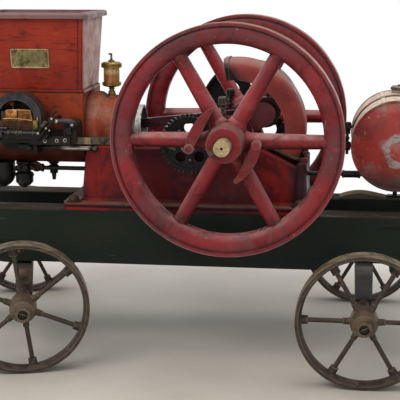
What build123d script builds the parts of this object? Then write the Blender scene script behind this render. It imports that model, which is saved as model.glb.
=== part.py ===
from build123d import *
import math
import os

# Horizontal farm engine on a four-wheel hand cart with a steered front axle.
# Origin on the ground under the middle of the cart, +X towards the fuel tank,
# +Y away from the magneto side, +Z up. All sizes in millimetres.

# Running and seating clearances
fit_gap = 0.05
seat_gap = 0.3
slide_gap = 0.1

# Cart timbers
beam_length = 1620.0
beam_width = 92.0
beam_height = 160.0
beam_top = 420.0
beam_outer_y = 178.0
notch_length = 146.0
notch_depth = 25.0
board_left_x = 478.0
board_right_x = 622.0
cross_timber_width = 120.0
cross_timber_height = 70.0

# Cart running gear
wheel_diameter = 372.0
wheel_rim_width = 56.0
wheel_rim_thickness = 10.0
wheel_rib_depth = 8.0
wheel_rib_half = 21.0
wheel_track = 848.0
wheel_spoke_count = 6
wheel_spoke_diameter = 13.0
wheel_socket_diameter = 21.0
wheel_socket_length = 22.0
rim_lug_diameter = 23.0
rim_lug_length = 17.0
wheel_hub_diameter = 76.0
wheel_hub_length = 110.0
hub_nose_diameter = 40.0
hub_nose_length = 24.0
axle_diameter = 28.0
axle_overhang = 8.0
bolster_width = 48.0
rear_axle_x = 556.0
front_axle_x = -501.0
steer_angle = 15.0
bolster_half_length = 250.0
bolster_end_radius = 20.0
turntable_thickness = 8.0
turntable_diameter = 150.0
king_pin_diameter = 20.0

# Engine datum
crank_x = 170.0
crank_z = 650.0

# Flywheels
flywheel_diameter = 650.0
flywheel_face = 64.0
flywheel_rim_depth = 58.0
flywheel_offset = 284.0
flywheel_spoke_count = 6
spoke_hub_radius = 23.5
spoke_rim_radius = 20.0
spoke_collar = 6.0
flywheel_hub_radius = 49.0
flywheel_boss_radius = 54.0
hub_outer_y = 385.0
hub_inner_y = 198.0
boss_half = 34.0

# Crankshaft
shaft_diameter = 45.0
shaft_near_end = 414.0
shaft_far_end = 498.0
stub_radius = 22.0
stub_length = 24.0
crank_throw = 97.0
crank_angle = 29.0
web_inner = 30.0
web_thickness = 28.0
web_shaft_radius = 36.0
web_pin_radius = 34.0
crankpin_diameter = 48.0
rod_length = 450.0
rod_width = 44.0
big_end_radius = 45.0
small_end_radius = 28.0
wrist_pin_diameter = 26.0
key_size = 11.0
key_length = 60.0
key_head = 26.0
key_angle = 208.0

# Cylinder and piston
bore_diameter = 128.0
barrel_radius = 87.0
barrel_end_x = -178.0
flare_radius = 103.0
flare_start_x = -246.0
flare_end_x = -216.0
chamber_end_x = -520.0
jacket_left_x = -590.0
jacket_right_x = -276.0
jacket_half_width = 122.0
jacket_bottom = 545.0
jacket_top = 758.0
jacket_corner = 56.0
piston_length = 170.0
piston_wall = 8.0
skirt_beyond_pin = 78.0

# Water hopper
hopper_height = 217.0
hopper_bottom_half_x = 151.0
hopper_top_half_x = 162.0
hopper_bottom_half_y = 110.0
hopper_top_half_y = 137.0
hopper_wall = 9.0
hopper_rim_height = 17.0
hopper_rim_out = 14.0
hopper_foot = 5.0
hopper_x = -428.0

# Engine base
base_left_x = -285.0
base_right_x = 386.0
base_half_width = 140.0
flange_left_x = -331.0
flange_right_x = 405.0
flange_thickness = 21.0
flange_groove = 5.0
saddle_z = 600.0
base_left_corner = 28.0
base_right_corner = 40.0
pit_half_width = 82.0
pit_floor = 465.0
pit_wall = 20.0
bearing_half_x = 56.0
bearing_inner_y = 86.0
rear_lip_z = 560.0
rear_slope_z = 604.0

# Crank guard
guard_radius = 208.0
guard_half_width = 75.0
guard_thickness = 4.0
guard_side_radius = 147.0
guard_corner = 34.0
guard_lip = 3.0
guard_start = -24.0
guard_end = 100.0

# Timing gears
gear_module = 4.0
pinion_teeth = 21
cam_teeth = 42
gear_face = 22.0
gear_plane_y = -161.0
cam_gear_angle = 193.4
cam_stud_diameter = 24.0
pressure_angle = 20.0
gear_backlash = 0.3
cam_base_radius = 26.0
cam_lift = 9.0
cam_thickness = 16.0

# Push rod and valve gear
push_bar_height = 19.0
push_bar_thickness = 8.0
push_bar_left_x = -640.0
push_bar_y = -184.0
push_bar_rise = 6.5
tappet_gap = 0.6
rocker_pivot_x = -655.0
rocker_pivot_y = -105.0
rocker_thickness = 18.0
rocker_pin_diameter = 12.0
valve_stem_diameter = 10.0
valve_stem_end_x = -676.0
latch_rod_diameter = 12.5
latch_rod_y = -151.0
latch_rod_z = 600.0
latch_rod_left = -445.0
latch_rod_right = -234.0

# Magneto
magneto_x = -452.0
magneto_z = 693.0
magnet_outer_radius = 75.0
magnet_inner_radius = 53.0
magnet_near_y = -216.0
magnet_far_y = -156.0
bracket_thickness = 14.0
magneto_reach = 172.0
bracket_block_width = 38.0
bracket_block_corner = 11.0

# Drip oiler and grease cups
oiler_x = -213.0
oiler_boss_top = 741.0
oiler_cup_bottom = 769.0
oiler_glass_radius = 24.0
oiler_glass_height = 45.0
oiler_cap_radius = 30.0

# Governor weights, placed from the crank centre
weight_width = 30.0
weight_thickness = 20.0
weight_plane_y = -323.0
weight_pin_diameter = 12.0
weight_mid_radius = 87.0
left_weight_pin = (-102.0, -18.0)
left_weight_tip = (-41.0, 89.0)
right_weight_pin = (84.0, -4.0)
right_weight_tip = (29.0, -105.0)

# Belt pulley on the far end of the crankshaft
pulley_radius = 168.0
pulley_near_y = 417.0
pulley_face = 84.0
pulley_rim = 9.0
pulley_web = 11.0
pulley_hole_radius = 26.0
pulley_hole_circle = 92.0
pulley_hub_radius = 40.0

# Fuel tank
tank_x = 640.0
tank_z = 622.0
tank_radius = 128.0
tank_half_length = 150.0
tank_dome = 38.0
tank_seam = 2.5
pipe_y = -72.0
pipe_z = 526.0
pipe_diameter = 13.0
pot_radius = 42.4
mixer_x = -473.0
mixer_bowl_radius = 26.5
muffler_x = -545.0
cock_x = -389.0
cock_y = -40.0
tank_near_leg_shift = 42.0
tank_far_leg_shift = 10.0
tank_leg_y = 145.0
tank_leg_diameter = 14.0

os.makedirs("parts", exist_ok=True)

wheel_radius = wheel_diameter / 2
beam_bottom = beam_top - beam_height
beam_mid_y = beam_outer_y - beam_width / 2
beam_inner_y = beam_outer_y - beam_width
flywheel_radius = flywheel_diameter / 2
shaft_radius = shaft_diameter / 2
flange_top = beam_top + flange_thickness
pin_x = crank_x + crank_throw * math.cos(math.radians(crank_angle))
pin_z = crank_z + crank_throw * math.sin(math.radians(crank_angle))
rod_tilt = math.degrees(math.asin((pin_z - crank_z) / rod_length))
wrist_x = pin_x - rod_length * math.cos(math.radians(rod_tilt))
skirt_x = wrist_x + skirt_beyond_pin
crown_x = skirt_x - piston_length
gear_distance = gear_module * (pinion_teeth + cam_teeth) / 2
cam_x = crank_x + gear_distance * math.cos(math.radians(cam_gear_angle))
cam_z = crank_z + gear_distance * math.sin(math.radians(cam_gear_angle))
push_bar_z = cam_z + push_bar_rise


def save(piece, name):
    piece.label = name
    export_step(piece, "parts/" + name + ".step")


def across(y):
    # A plane whose local x is +X, local y is +Z, looking along +Y from the near side.
    return Plane(origin=(0, y, 0), x_dir=(1, 0, 0), z_dir=(0, -1, 0))


def along(x):
    # A plane whose local x is +Y and local y is +Z.
    return Plane(origin=(x, 0, 0), x_dir=(0, 1, 0), z_dir=(1, 0, 0))


# Cart timbers
def make_beam(name, side):
    with BuildPart() as beam:
        with Locations((0, side * beam_mid_y, (beam_top + beam_bottom) / 2)):
            Box(beam_length, beam_width, beam_height)
        with Locations((rear_axle_x, side * beam_mid_y, beam_bottom + notch_depth / 2)):
            Box(notch_length, beam_width, notch_depth, mode=Mode.SUBTRACT)
        long_edges = beam.edges().filter_by(Axis.X).filter_by(lambda e: e.length > beam_length * 0.9)
        fillet(long_edges, 4)
    save(beam.part, name)


make_beam("near_beam", -1)
make_beam("far_beam", 1)


# Front cross timber between the beams, with the hole for the king bolt
front_cross_top = beam_bottom + cross_timber_height
with BuildPart() as front_cross:
    with Locations((front_axle_x, 0, beam_bottom + cross_timber_height / 2)):
        Box(cross_timber_width, 2 * beam_inner_y, cross_timber_height)
        Cylinder(king_pin_diameter / 2 + fit_gap, cross_timber_height, mode=Mode.SUBTRACT)
save(front_cross.part, "front_cross_timber")

# Worn board lying on the far beam beside the engine
with BuildPart() as board:
    with BuildSketch(across(beam_inner_y + 62)):
        with BuildLine():
            board_low = beam_top + seat_gap
            board_mid_x = (board_left_x + board_right_x) / 2
            Line((board_left_x, board_low), (board_right_x, board_low))
            Line((board_right_x, board_low), (board_right_x - 3, beam_top + 6))
            Spline(
                (board_right_x - 3, beam_top + 6),
                (board_mid_x + 30, beam_top + 14),
                (board_mid_x - 10, beam_top + 18),
                (board_mid_x - 45, beam_top + 13),
                (board_left_x + 3, beam_top + 5),
            )
            Line((board_left_x + 3, beam_top + 5), (board_left_x, board_low))
        make_face()
    extrude(amount=58)
save(board.part, "beam_board")

# Turntable plate under the beams
with BuildPart() as turntable:
    with BuildSketch(Plane.XY.offset(beam_bottom - turntable_thickness)):
        with Locations((front_axle_x, 0)):
            SlotOverall(2 * beam_outer_y - 20, turntable_diameter, rotation=90)
            Circle(king_pin_diameter / 2 + fit_gap, mode=Mode.SUBTRACT)
    extrude(amount=turntable_thickness)
save(turntable.part, "turntable_plate")

axle_end = wheel_track / 2 + wheel_hub_length / 2 + hub_nose_length - axle_overhang
rear_bolster_top = beam_bottom + notch_depth

bolster_low = wheel_radius - 24


def make_bolster(x, top):
    # An upright plank over the axle rod, with rounded lower edges and rounded ends.
    with BuildPart() as bolster:
        with Locations((x, 0, (top + bolster_low) / 2)):
            Box(bolster_width, 2 * bolster_half_length, top - bolster_low)
        fillet(bolster.edges().filter_by(Axis.Y).group_by(Axis.Z)[0], 6)
        end_edges = bolster.edges().filter_by(Axis.X).group_by(Axis.Z)[-1]
        fillet(end_edges, bolster_end_radius)
        with Locations(Location((x, 0, wheel_radius), (90, 0, 0))):
            Cylinder(axle_diameter / 2 + fit_gap, 3 * bolster_half_length, mode=Mode.SUBTRACT)
    return bolster.part


# Rear axle: a bolster in the beam notches with the axle rod through it
save(make_bolster(rear_axle_x, rear_bolster_top), "rear_bolster")


def make_axle(name, x):
    with BuildPart() as axle:
        with Locations(Location((x, 0, wheel_radius), (90, 0, 0))):
            Cylinder(axle_diameter / 2, 2 * axle_end)
        chamfer(axle.edges().filter_by(GeomType.CIRCLE), 2)
    return axle.part


save(make_axle("rear_axle", rear_axle_x), "rear_axle")

# Front axle: the bolster turns with the wheels under the turntable plate
front_bolster_top = beam_bottom - turntable_thickness - seat_gap
with BuildPart() as front_bolster:
    add(make_bolster(front_axle_x, front_bolster_top))
    with Locations((front_axle_x, 0, front_bolster_top)):
        Cylinder(king_pin_diameter / 2 + fit_gap, 90, mode=Mode.SUBTRACT)

king_pin_bottom = front_bolster_top - 30
king_pin_top = front_cross_top + seat_gap
with BuildPart() as king_bolt:
    with BuildSketch(Plane.XY.offset(king_pin_bottom)):
        with Locations((front_axle_x, 0)):
            Circle(king_pin_diameter / 2)
    extrude(amount=king_pin_top - king_pin_bottom)
    with BuildSketch(Plane.XY.offset(king_pin_top)):
        with Locations((front_axle_x, 0)):
            RegularPolygon(19, 6)
    extrude(amount=14)


def steered(shape):
    return shape.rotate(Axis((front_axle_x, 0, 0), (0, 0, 1)), steer_angle)


save(steered(front_bolster.part), "front_bolster")
save(steered(make_axle("front_axle", front_axle_x)), "front_axle")
save(king_bolt.part, "king_bolt")


# Spoked cart wheels, made at the origin with the axle along +Y, nose towards -Y
def make_wheel():
    socket_radius = wheel_socket_diameter / 2
    inner = wheel_radius - wheel_rim_thickness
    hub_radius = wheel_hub_diameter / 2
    half = wheel_hub_length / 2
    with BuildPart() as wheel:
        with BuildSketch(Plane.XY):
            with BuildLine():
                Polyline(
                    (inner, -wheel_rim_width / 2),
                    (wheel_radius, -wheel_rim_width / 2),
                    (wheel_radius, wheel_rim_width / 2),
                    (inner, wheel_rim_width / 2),
                    (inner, wheel_rib_half),
                )
                ThreePointArc((inner, wheel_rib_half), (inner - wheel_rib_depth, 0), (inner, -wheel_rib_half))
                Line((inner, -wheel_rib_half), (inner, -wheel_rim_width / 2))
            make_face()
        revolve(axis=Axis.Y)
        with BuildSketch(Plane.XY):
            with BuildLine():
                Polyline(
                    (axle_diameter / 2 + fit_gap, -half - hub_nose_length),
                    (hub_nose_diameter / 2, -half - hub_nose_length),
                    (hub_nose_diameter / 2, -half),
                    (hub_radius - 8, -half + 6),
                    (hub_radius, -24),
                    (hub_radius, 24),
                    (hub_radius - 10, half),
                    (axle_diameter / 2 + fit_gap, half),
                    close=True,
                )
            make_face()
        revolve(axis=Axis.Y)
        for i in range(wheel_spoke_count):
            out = Plane.XY.rotated((0, i * 360 / wheel_spoke_count + 90, 0))
            with BuildSketch(out.offset(hub_radius - 4)):
                Circle(wheel_spoke_diameter / 2)
            extrude(amount=inner - hub_radius + 2)
            with BuildSketch(out.offset(hub_radius - 4)):
                Circle(socket_radius)
            extrude(amount=wheel_socket_length, taper=6)
            with BuildSketch(out.offset(inner - wheel_rib_depth - rim_lug_length)):
                Circle(rim_lug_diameter / 2)
            extrude(amount=rim_lug_length + wheel_rib_depth, taper=-4)
        with Locations(Location((0, 0, 0), (90, 0, 0))):
            Cylinder(axle_diameter / 2 + fit_gap, 400, mode=Mode.SUBTRACT)
    return wheel.part


wheel_shape = make_wheel()
wheel_far = wheel_shape.rotate(Axis.Z, 180)
half_track = wheel_track / 2
save(wheel_shape.moved(Location((rear_axle_x, -half_track, wheel_radius))), "near_rear_wheel")
save(wheel_far.moved(Location((rear_axle_x, half_track, wheel_radius))), "far_rear_wheel")
near_front = wheel_shape.rotate(Axis.Y, 22).moved(Location((front_axle_x, -half_track, wheel_radius)))
far_front = wheel_far.rotate(Axis.Y, 5).moved(Location((front_axle_x, half_track, wheel_radius)))
save(steered(near_front), "near_front_wheel")
save(steered(far_front), "far_front_wheel")


def barrel_outline(gap, right_x):
    # Half section of the barrel with its flare towards the water jacket.
    points = [(jacket_right_x - 1 - gap, crank_z), (jacket_right_x - 1 - gap, crank_z + flare_radius + gap)]
    steps = 12
    for i in range(steps + 1):
        part_way = i / steps
        ease = part_way * part_way * (3 - 2 * part_way)
        radius = flare_radius + (barrel_radius - flare_radius) * ease + gap
        points.append((flare_start_x + (flare_end_x - flare_start_x) * part_way, crank_z + radius))
    points.append((right_x, crank_z + barrel_radius + gap))
    points.append((right_x, crank_z))
    return points


# Engine base: side walls, crank pit, saddle for the cylinder and main bearing seats
with BuildPart() as base:
    with BuildSketch(across(base_half_width)):
        with BuildLine():
            Polyline(
                (base_left_x, flange_top - 1),
                (base_left_x + 15, saddle_z),
                (crank_x - bearing_half_x - 60, saddle_z),
                (crank_x - bearing_half_x, crank_z),
                (crank_x + bearing_half_x, crank_z),
                (crank_x + bearing_half_x + 18, rear_slope_z),
                (base_right_x - pit_wall - 16, rear_lip_z - 10),
                (base_right_x - pit_wall - 6, rear_lip_z),
                (base_right_x, rear_lip_z),
                (base_right_x, flange_top - 1),
                close=True,
            )
        make_face()
    extrude(amount=2 * base_half_width)
    wall_edges = base.edges().filter_by(lambda e: abs((e @ 0).Y - (e @ 1).Y) < 1)
    fillet(wall_edges.group_by(Axis.X)[0], base_left_corner)
    fillet(base.edges().filter_by(Axis.Z).group_by(Axis.X)[-1], base_right_corner)
    with BuildSketch(Plane.XY.offset(flange_top - 1)):
        with Locations(((base_left_x + base_right_x) / 2, 0)):
            RectangleRounded(base_right_x - base_left_x + 20, 2 * base_half_width + 20, base_right_corner)
    extrude(amount=11, taper=45)
    flange_middle = ((flange_left_x + flange_right_x) / 2, 0)
    with BuildSketch(Plane.XY.offset(beam_top)):
        with Locations(flange_middle):
            RectangleRounded(flange_right_x - flange_left_x, 2 * beam_outer_y, 24)
    extrude(amount=flange_thickness)
    with BuildSketch(Plane.XY.offset(beam_top + 8)):
        with Locations(flange_middle):
            Rectangle(flange_right_x - flange_left_x + 40, 2 * beam_outer_y + 40)
            RectangleRounded(
                flange_right_x - flange_left_x - 2 * flange_groove,
                2 * (beam_outer_y - flange_groove),
                24 - flange_groove,
                mode=Mode.SUBTRACT,
            )
    extrude(amount=7, mode=Mode.SUBTRACT)
    pit_left = barrel_end_x - 2
    pit_right = base_right_x - pit_wall
    with Locations(((pit_left + pit_right) / 2, 0, pit_floor + 150)):
        Box(pit_right - pit_left, 2 * pit_half_width, 300, mode=Mode.SUBTRACT)
    with BuildSketch(Plane.XZ):
        Polygon(*barrel_outline(seat_gap, barrel_end_x + 6), align=None)
    revolve(axis=Axis((0, 0, crank_z), (1, 0, 0)), mode=Mode.SUBTRACT)
    with Locations(Location((crank_x, 0, crank_z), (90, 0, 0))):
        Cylinder(shaft_radius + fit_gap, 400, mode=Mode.SUBTRACT)
    with Locations(Location((0, pipe_y, pipe_z), (0, 90, 0))):
        Cylinder(pipe_diameter / 2 + seat_gap, 1000, mode=Mode.SUBTRACT)
save(base.part, "engine_base")


# Main bearing caps
def make_cap(name, side):
    depth = base_half_width - bearing_inner_y
    mid_y = side * (base_half_width + bearing_inner_y) / 2
    with BuildPart() as cap:
        with BuildSketch(across(mid_y + depth / 2)):
            with BuildLine():
                Polyline(
                    (crank_x - bearing_half_x, crank_z + seat_gap),
                    (crank_x + bearing_half_x, crank_z + seat_gap),
                    (crank_x + bearing_half_x, crank_z + 18),
                    (crank_x + 38, crank_z + 46),
                    (crank_x - 38, crank_z + 46),
                    (crank_x - bearing_half_x, crank_z + 18),
                    close=True,
                )
            make_face()
        extrude(amount=depth)
        with Locations(Location((crank_x, mid_y, crank_z), (90, 0, 0))):
            Cylinder(shaft_radius + fit_gap, 2 * depth, mode=Mode.SUBTRACT)
        with Locations((crank_x - 43, mid_y, crank_z + 22), (crank_x + 43, mid_y, crank_z + 22)):
            Cylinder(9, 34)
    save(cap.part, name)


make_cap("near_bearing_cap", -1)
make_cap("far_bearing_cap", 1)

# Cylinder casting: square water jacket, round barrel and bore
with BuildPart() as cylinder:
    with BuildSketch(along(jacket_left_x)):
        with Locations((0, (jacket_top + jacket_bottom) / 2)):
            Rectangle(2 * jacket_half_width, jacket_top - jacket_bottom)
    extrude(amount=jacket_right_x - jacket_left_x)
    fillet(cylinder.edges().filter_by(Axis.X).group_by(Axis.Z)[0], jacket_corner)
    with BuildSketch(Plane.XZ):
        Polygon(*barrel_outline(0, barrel_end_x), align=None)
    revolve(axis=Axis((0, 0, crank_z), (1, 0, 0)))
    with BuildSketch(along(barrel_end_x)):
        with Locations((0, crank_z)):
            Circle(bore_diameter / 2)
    extrude(amount=chamber_end_x - barrel_end_x, mode=Mode.SUBTRACT)
    with BuildSketch(Plane.XY.offset(crank_z + barrel_radius - 12)):
        with Locations((oiler_x, 0)):
            Circle(23)
    extrude(amount=oiler_boss_top - crank_z - barrel_radius + 12, taper=8)
save(cylinder.part, "cylinder")

# Cylinder head on the far left end
with BuildPart() as head:
    with BuildSketch(along(jacket_left_x - seat_gap)):
        with Locations((0, crank_z)):
            RectangleRounded(214, 196, 30)
    extrude(amount=-24)
    with BuildSketch(along(jacket_left_x - 24)):
        with Locations((0, crank_z - 28), (0, crank_z + 40)):
            Circle(29)
    extrude(amount=-26)
    with BuildSketch(along(jacket_left_x - 24)):
        with Locations((-82, crank_z - 74), (82, crank_z - 74), (-82, crank_z + 74), (82, crank_z + 74)):
            RegularPolygon(13, 6)
    extrude(amount=-14)
    lug_reach = rocker_pivot_x - 15
    lug_left = (lug_reach + jacket_left_x - 20) / 2
    with Locations((lug_left, rocker_pivot_y, cam_z)):
        Box(jacket_left_x - 20 - lug_reach, 30, rocker_thickness + 32)
    with Locations(((rocker_pivot_x - 40 + jacket_left_x - 27) / 2, 0, cam_z)):
        Box(
            jacket_left_x - 27 - rocker_pivot_x + 40,
            2 * abs(rocker_pivot_y) + 60,
            rocker_thickness + 1.0,
            mode=Mode.SUBTRACT,
        )
    with Locations((rocker_pivot_x, rocker_pivot_y, cam_z)):
        Cylinder(rocker_pin_diameter / 2, rocker_thickness + 30)
    with BuildSketch(along(jacket_left_x - 24)):
        with Locations((0, cam_z)):
            Circle(20)
    extrude(amount=-26)
    with Locations(Location((jacket_left_x - 60, 0, cam_z), (0, 90, 0))):
        Cylinder(valve_stem_diameter / 2 + fit_gap, 100, mode=Mode.SUBTRACT)
save(head.part, "cylinder_head")

# Water hopper, open at the top
hopper_z = jacket_top + seat_gap
with BuildPart() as hopper:
    with BuildSketch(Plane.XY.offset(hopper_z)) as s0:
        with Locations((hopper_x, 0)):
            RectangleRounded(2 * hopper_bottom_half_x, 2 * hopper_bottom_half_y, 10)
    with BuildSketch(Plane.XY.offset(hopper_z + hopper_height)) as s1:
        with Locations((hopper_x, 0)):
            RectangleRounded(2 * hopper_top_half_x, 2 * hopper_top_half_y, 10)
    loft()
    with BuildSketch(Plane.XY.offset(hopper_z + hopper_height)):
        with Locations((hopper_x, 0)):
            RectangleRounded(2 * (hopper_top_half_x + hopper_rim_out), 2 * (hopper_top_half_y + hopper_rim_out), 22)
    extrude(amount=hopper_rim_height)
    fillet(hopper.faces().sort_by(Axis.Z)[-1].edges(), 8)
    with BuildSketch(Plane.XY.offset(hopper_z)):
        with Locations((hopper_x, 0)):
            RectangleRounded(2 * (hopper_bottom_half_x + hopper_foot), 2 * (hopper_bottom_half_y + hopper_foot), 12)
    extrude(amount=9)
    with BuildSketch(Plane.XY.offset(hopper_z + 14)):
        with Locations((hopper_x, 0)):
            RectangleRounded(
                2 * (hopper_bottom_half_x - hopper_wall),
                2 * (hopper_bottom_half_y - hopper_wall),
                6,
            )
    with BuildSketch(Plane.XY.offset(hopper_z + hopper_height + hopper_rim_height)):
        with Locations((hopper_x, 0)):
            RectangleRounded(2 * (hopper_top_half_x - hopper_wall), 2 * (hopper_top_half_y - hopper_wall), 6)
    loft(mode=Mode.SUBTRACT)
save(hopper.part, "hopper")

# Name plate, left bare
plate_tilt = math.degrees(math.atan((hopper_top_half_y - hopper_bottom_half_y) / hopper_height))
plate_x = -431.0
plate_z = 859.0
plate_y = -(hopper_bottom_half_y + (plate_z - hopper_z) * math.tan(math.radians(plate_tilt)))
plate_plane = Plane(origin=(plate_x, plate_y - seat_gap / 2, plate_z), x_dir=(1, 0, 0), z_dir=(0, -1, 0))
with BuildPart() as plate:
    with BuildSketch(plate_plane.rotated((plate_tilt, 0, 0))):
        RectangleRounded(118, 59, 5)
    extrude(amount=1.6)
save(plate.part, "name_plate")

# Piston with ring grooves, open at the skirt
with BuildPart() as piston:
    with BuildSketch(Plane.XZ):
        with BuildLine():
            r = bore_diameter / 2 - slide_gap
            Polyline(
                (crown_x, 0),
                (crown_x, r),
                (crown_x + 14, r),
                (crown_x + 14, r - 3),
                (crown_x + 19, r - 3),
                (crown_x + 19, r),
                (crown_x + 28, r),
                (crown_x + 28, r - 3),
                (crown_x + 33, r - 3),
                (crown_x + 33, r),
                (crown_x + 42, r),
                (crown_x + 42, r - 3),
                (crown_x + 47, r - 3),
                (crown_x + 47, r),
                (skirt_x, r),
                (skirt_x, r - piston_wall),
                (crown_x + 52, r - piston_wall),
                (crown_x + 40, r - piston_wall - 14),
                (crown_x + 16, 0),
                close=True,
            )
        make_face()
    revolve(axis=Axis.X)
    with Locations(
        Location((wrist_x, -(rod_width / 2 + 4 + 15), 0), (90, 0, 0)),
        Location((wrist_x, rod_width / 2 + 4 + 15, 0), (90, 0, 0)),
    ):
        Cylinder(wrist_pin_diameter / 2 + 9, 34)
    with Locations(Location((wrist_x, 0, 0), (90, 0, 0))):
        Cylinder(wrist_pin_diameter / 2 + fit_gap, 2 * r - 20, mode=Mode.SUBTRACT)
save(piston.part.moved(Location((0, 0, crank_z))), "piston")

with BuildPart() as wrist_pin:
    with Locations(Location((wrist_x, 0, crank_z), (90, 0, 0))):
        Cylinder(wrist_pin_diameter / 2, bore_diameter - 24)
save(wrist_pin.part, "wrist_pin")

# Connecting rod, drawn level from the wrist pin and then tilted to the crankpin
with BuildPart() as rod:
    with BuildSketch(across(rod_width / 2 - 2)):
        with Locations((wrist_x, crank_z)):
            Circle(small_end_radius)
        with Locations((wrist_x + rod_length, crank_z)):
            Circle(big_end_radius)
    extrude(amount=rod_width - 4)
    with BuildSketch(across(11)):
        with BuildLine():
            Polyline(
                (wrist_x, crank_z - 13),
                (wrist_x + rod_length, crank_z - 15),
                (wrist_x + rod_length, crank_z + 15),
                (wrist_x, crank_z + 13),
                close=True,
            )
        make_face()
    extrude(amount=22)
    with Locations((wrist_x + rod_length, 0, crank_z - 34), (wrist_x + rod_length, 0, crank_z + 34)):
        with Locations(Location((0, 0, 0), (0, 90, 0))):
            Cylinder(8, 66)
    with Locations(
        Location((wrist_x, 0, crank_z), (90, 0, 0)),
    ):
        Cylinder(wrist_pin_diameter / 2 + fit_gap, 100, mode=Mode.SUBTRACT)
    with Locations(Location((wrist_x + rod_length, 0, crank_z), (90, 0, 0))):
        Cylinder(crankpin_diameter / 2 + fit_gap, 100, mode=Mode.SUBTRACT)
save(rod.part.rotate(Axis((wrist_x, 0, crank_z), (0, 1, 0)), -rod_tilt), "connecting_rod")

with BuildPart() as crankpin:
    with Locations(Location((pin_x, 0, pin_z), (90, 0, 0))):
        Cylinder(crankpin_diameter / 2, 2 * (web_inner - seat_gap))
save(crankpin.part, "crankpin")

# Crankshaft: two webs and two journals
with BuildPart() as crankshaft:
    for side in (-1, 1):
        y_start = web_inner if side > 0 else -(web_inner + web_thickness)
        with BuildSketch(across(y_start + web_thickness)):
            with BuildLine():
                a = math.radians(crank_angle)
                nx, nz = -math.sin(a), math.cos(a)
                s0 = (crank_x + nx * web_shaft_radius, crank_z + nz * web_shaft_radius)
                s1 = (crank_x - nx * web_shaft_radius, crank_z - nz * web_shaft_radius)
                p0 = (pin_x + nx * web_pin_radius, pin_z + nz * web_pin_radius)
                p1 = (pin_x - nx * web_pin_radius, pin_z - nz * web_pin_radius)
                ax, az = math.cos(a), math.sin(a)
                Line(s0, p0)
                ThreePointArc(p0, (pin_x + ax * web_pin_radius, pin_z + az * web_pin_radius), p1)
                Line(p1, s1)
                ThreePointArc(s1, (crank_x - ax * web_shaft_radius, crank_z - az * web_shaft_radius), s0)
            make_face()
        extrude(amount=web_thickness)
        shaft_end = shaft_far_end if side > 0 else shaft_near_end
        y_mid = side * (web_inner + 4 + shaft_end) / 2
        with Locations(Location((crank_x, y_mid, crank_z), (90, 0, 0))):
            Cylinder(shaft_radius, shaft_end - web_inner - 4)
    with Locations(Location((crank_x, -shaft_near_end - stub_length / 2, crank_z), (90, 0, 0))):
        Cylinder(stub_radius, stub_length)
save(crankshaft.part, "crankshaft")


# Flywheels, made at the origin with the outer face towards -Y
def make_flywheel():
    half = flywheel_face / 2
    rim_in = flywheel_radius - flywheel_rim_depth
    with BuildPart() as wheel:
        with BuildSketch(Plane.XY):
            with BuildLine():
                Polyline(
                    (flywheel_radius, -half),
                    (flywheel_radius, half),
                    (flywheel_radius - 9, half),
                    (flywheel_radius - 12, half - 5),
                )
                ThreePointArc(
                    (flywheel_radius - 12, half - 5),
                    (flywheel_radius - 34, half - 2),
                    (rim_in, half - 16),
                )
                Line((rim_in, half - 16), (rim_in, -half + 16))
                ThreePointArc(
                    (rim_in, -half + 16),
                    (flywheel_radius - 34, -half + 2),
                    (flywheel_radius - 12, -half + 5),
                )
                Polyline(
                    (flywheel_radius - 12, -half + 5),
                    (flywheel_radius - 9, -half),
                    (flywheel_radius, -half),
                )
            make_face()
        revolve(axis=Axis.Y)
        with BuildSketch(Plane.XY):
            with BuildLine():
                Polyline(
                    (shaft_radius + fit_gap, -hub_outer_y + flywheel_offset),
                    (flywheel_hub_radius - 3, -hub_outer_y + flywheel_offset),
                    (flywheel_hub_radius, -hub_outer_y + flywheel_offset + 3),
                    (flywheel_hub_radius + 2, -boss_half - 16),
                    (flywheel_boss_radius, -boss_half),
                    (flywheel_boss_radius, boss_half),
                    (flywheel_hub_radius + 2, boss_half + 16),
                    (flywheel_hub_radius, flywheel_offset - hub_inner_y),
                    (shaft_radius + fit_gap, flywheel_offset - hub_inner_y),
                    close=True,
                )
            make_face()
        revolve(axis=Axis.Y)
        for i in range(flywheel_spoke_count):
            out = Plane.XY.rotated((0, i * 360 / flywheel_spoke_count + 90, 0))
            with BuildSketch(out.offset(flywheel_boss_radius - 6)):
                Circle(spoke_hub_radius)
            with BuildSketch(out.offset(rim_in + 6)):
                Circle(spoke_rim_radius)
            loft()
            with BuildSketch(out.offset(flywheel_boss_radius - 4)):
                Circle(spoke_hub_radius + spoke_collar)
            extrude(amount=15, taper=22)
        key_low = shaft_radius + fit_gap
        key_top = key_low + key_size
        with BuildSketch(across(-(hub_outer_y - flywheel_offset) + key_length)):
            with Locations(Location((0, 0, 0), (0, 0, key_angle))):
                with Locations(((key_low + key_top) / 2 - 2, 0)):
                    Rectangle(key_top - key_low + 4, key_size + 2 * fit_gap)
        extrude(amount=key_length + 10, mode=Mode.SUBTRACT)
        with Locations(Location((0, 0, 0), (90, 0, 0))):
            Cylinder(shaft_radius + fit_gap, 500, mode=Mode.SUBTRACT)
    return wheel.part


flywheel_shape = make_flywheel()
at_near = Location((crank_x, -flywheel_offset, crank_z))
at_far = Location((crank_x, flywheel_offset, crank_z))

# The near wheel also carries the two studs that the governor weights swing on
stud_length = flywheel_offset - 12 + 8 - 226
stud_nut = 7.0
with BuildPart() as near_wheel:
    add(flywheel_shape)
    for pin in (left_weight_pin, right_weight_pin):
        with Locations(Location((pin[0], -12 - stud_length / 2, pin[1]), (90, 0, 0))):
            Cylinder(weight_pin_diameter / 2, stud_length)
        with BuildSketch(across(-12 - stud_length + stud_nut)):
            with Locations(pin):
                RegularPolygon(10, 6)
        extrude(amount=stud_nut)
save(near_wheel.part.moved(at_near), "near_flywheel")
save(flywheel_shape.rotate(Axis.Z, 180).moved(at_far), "far_flywheel")

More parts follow.
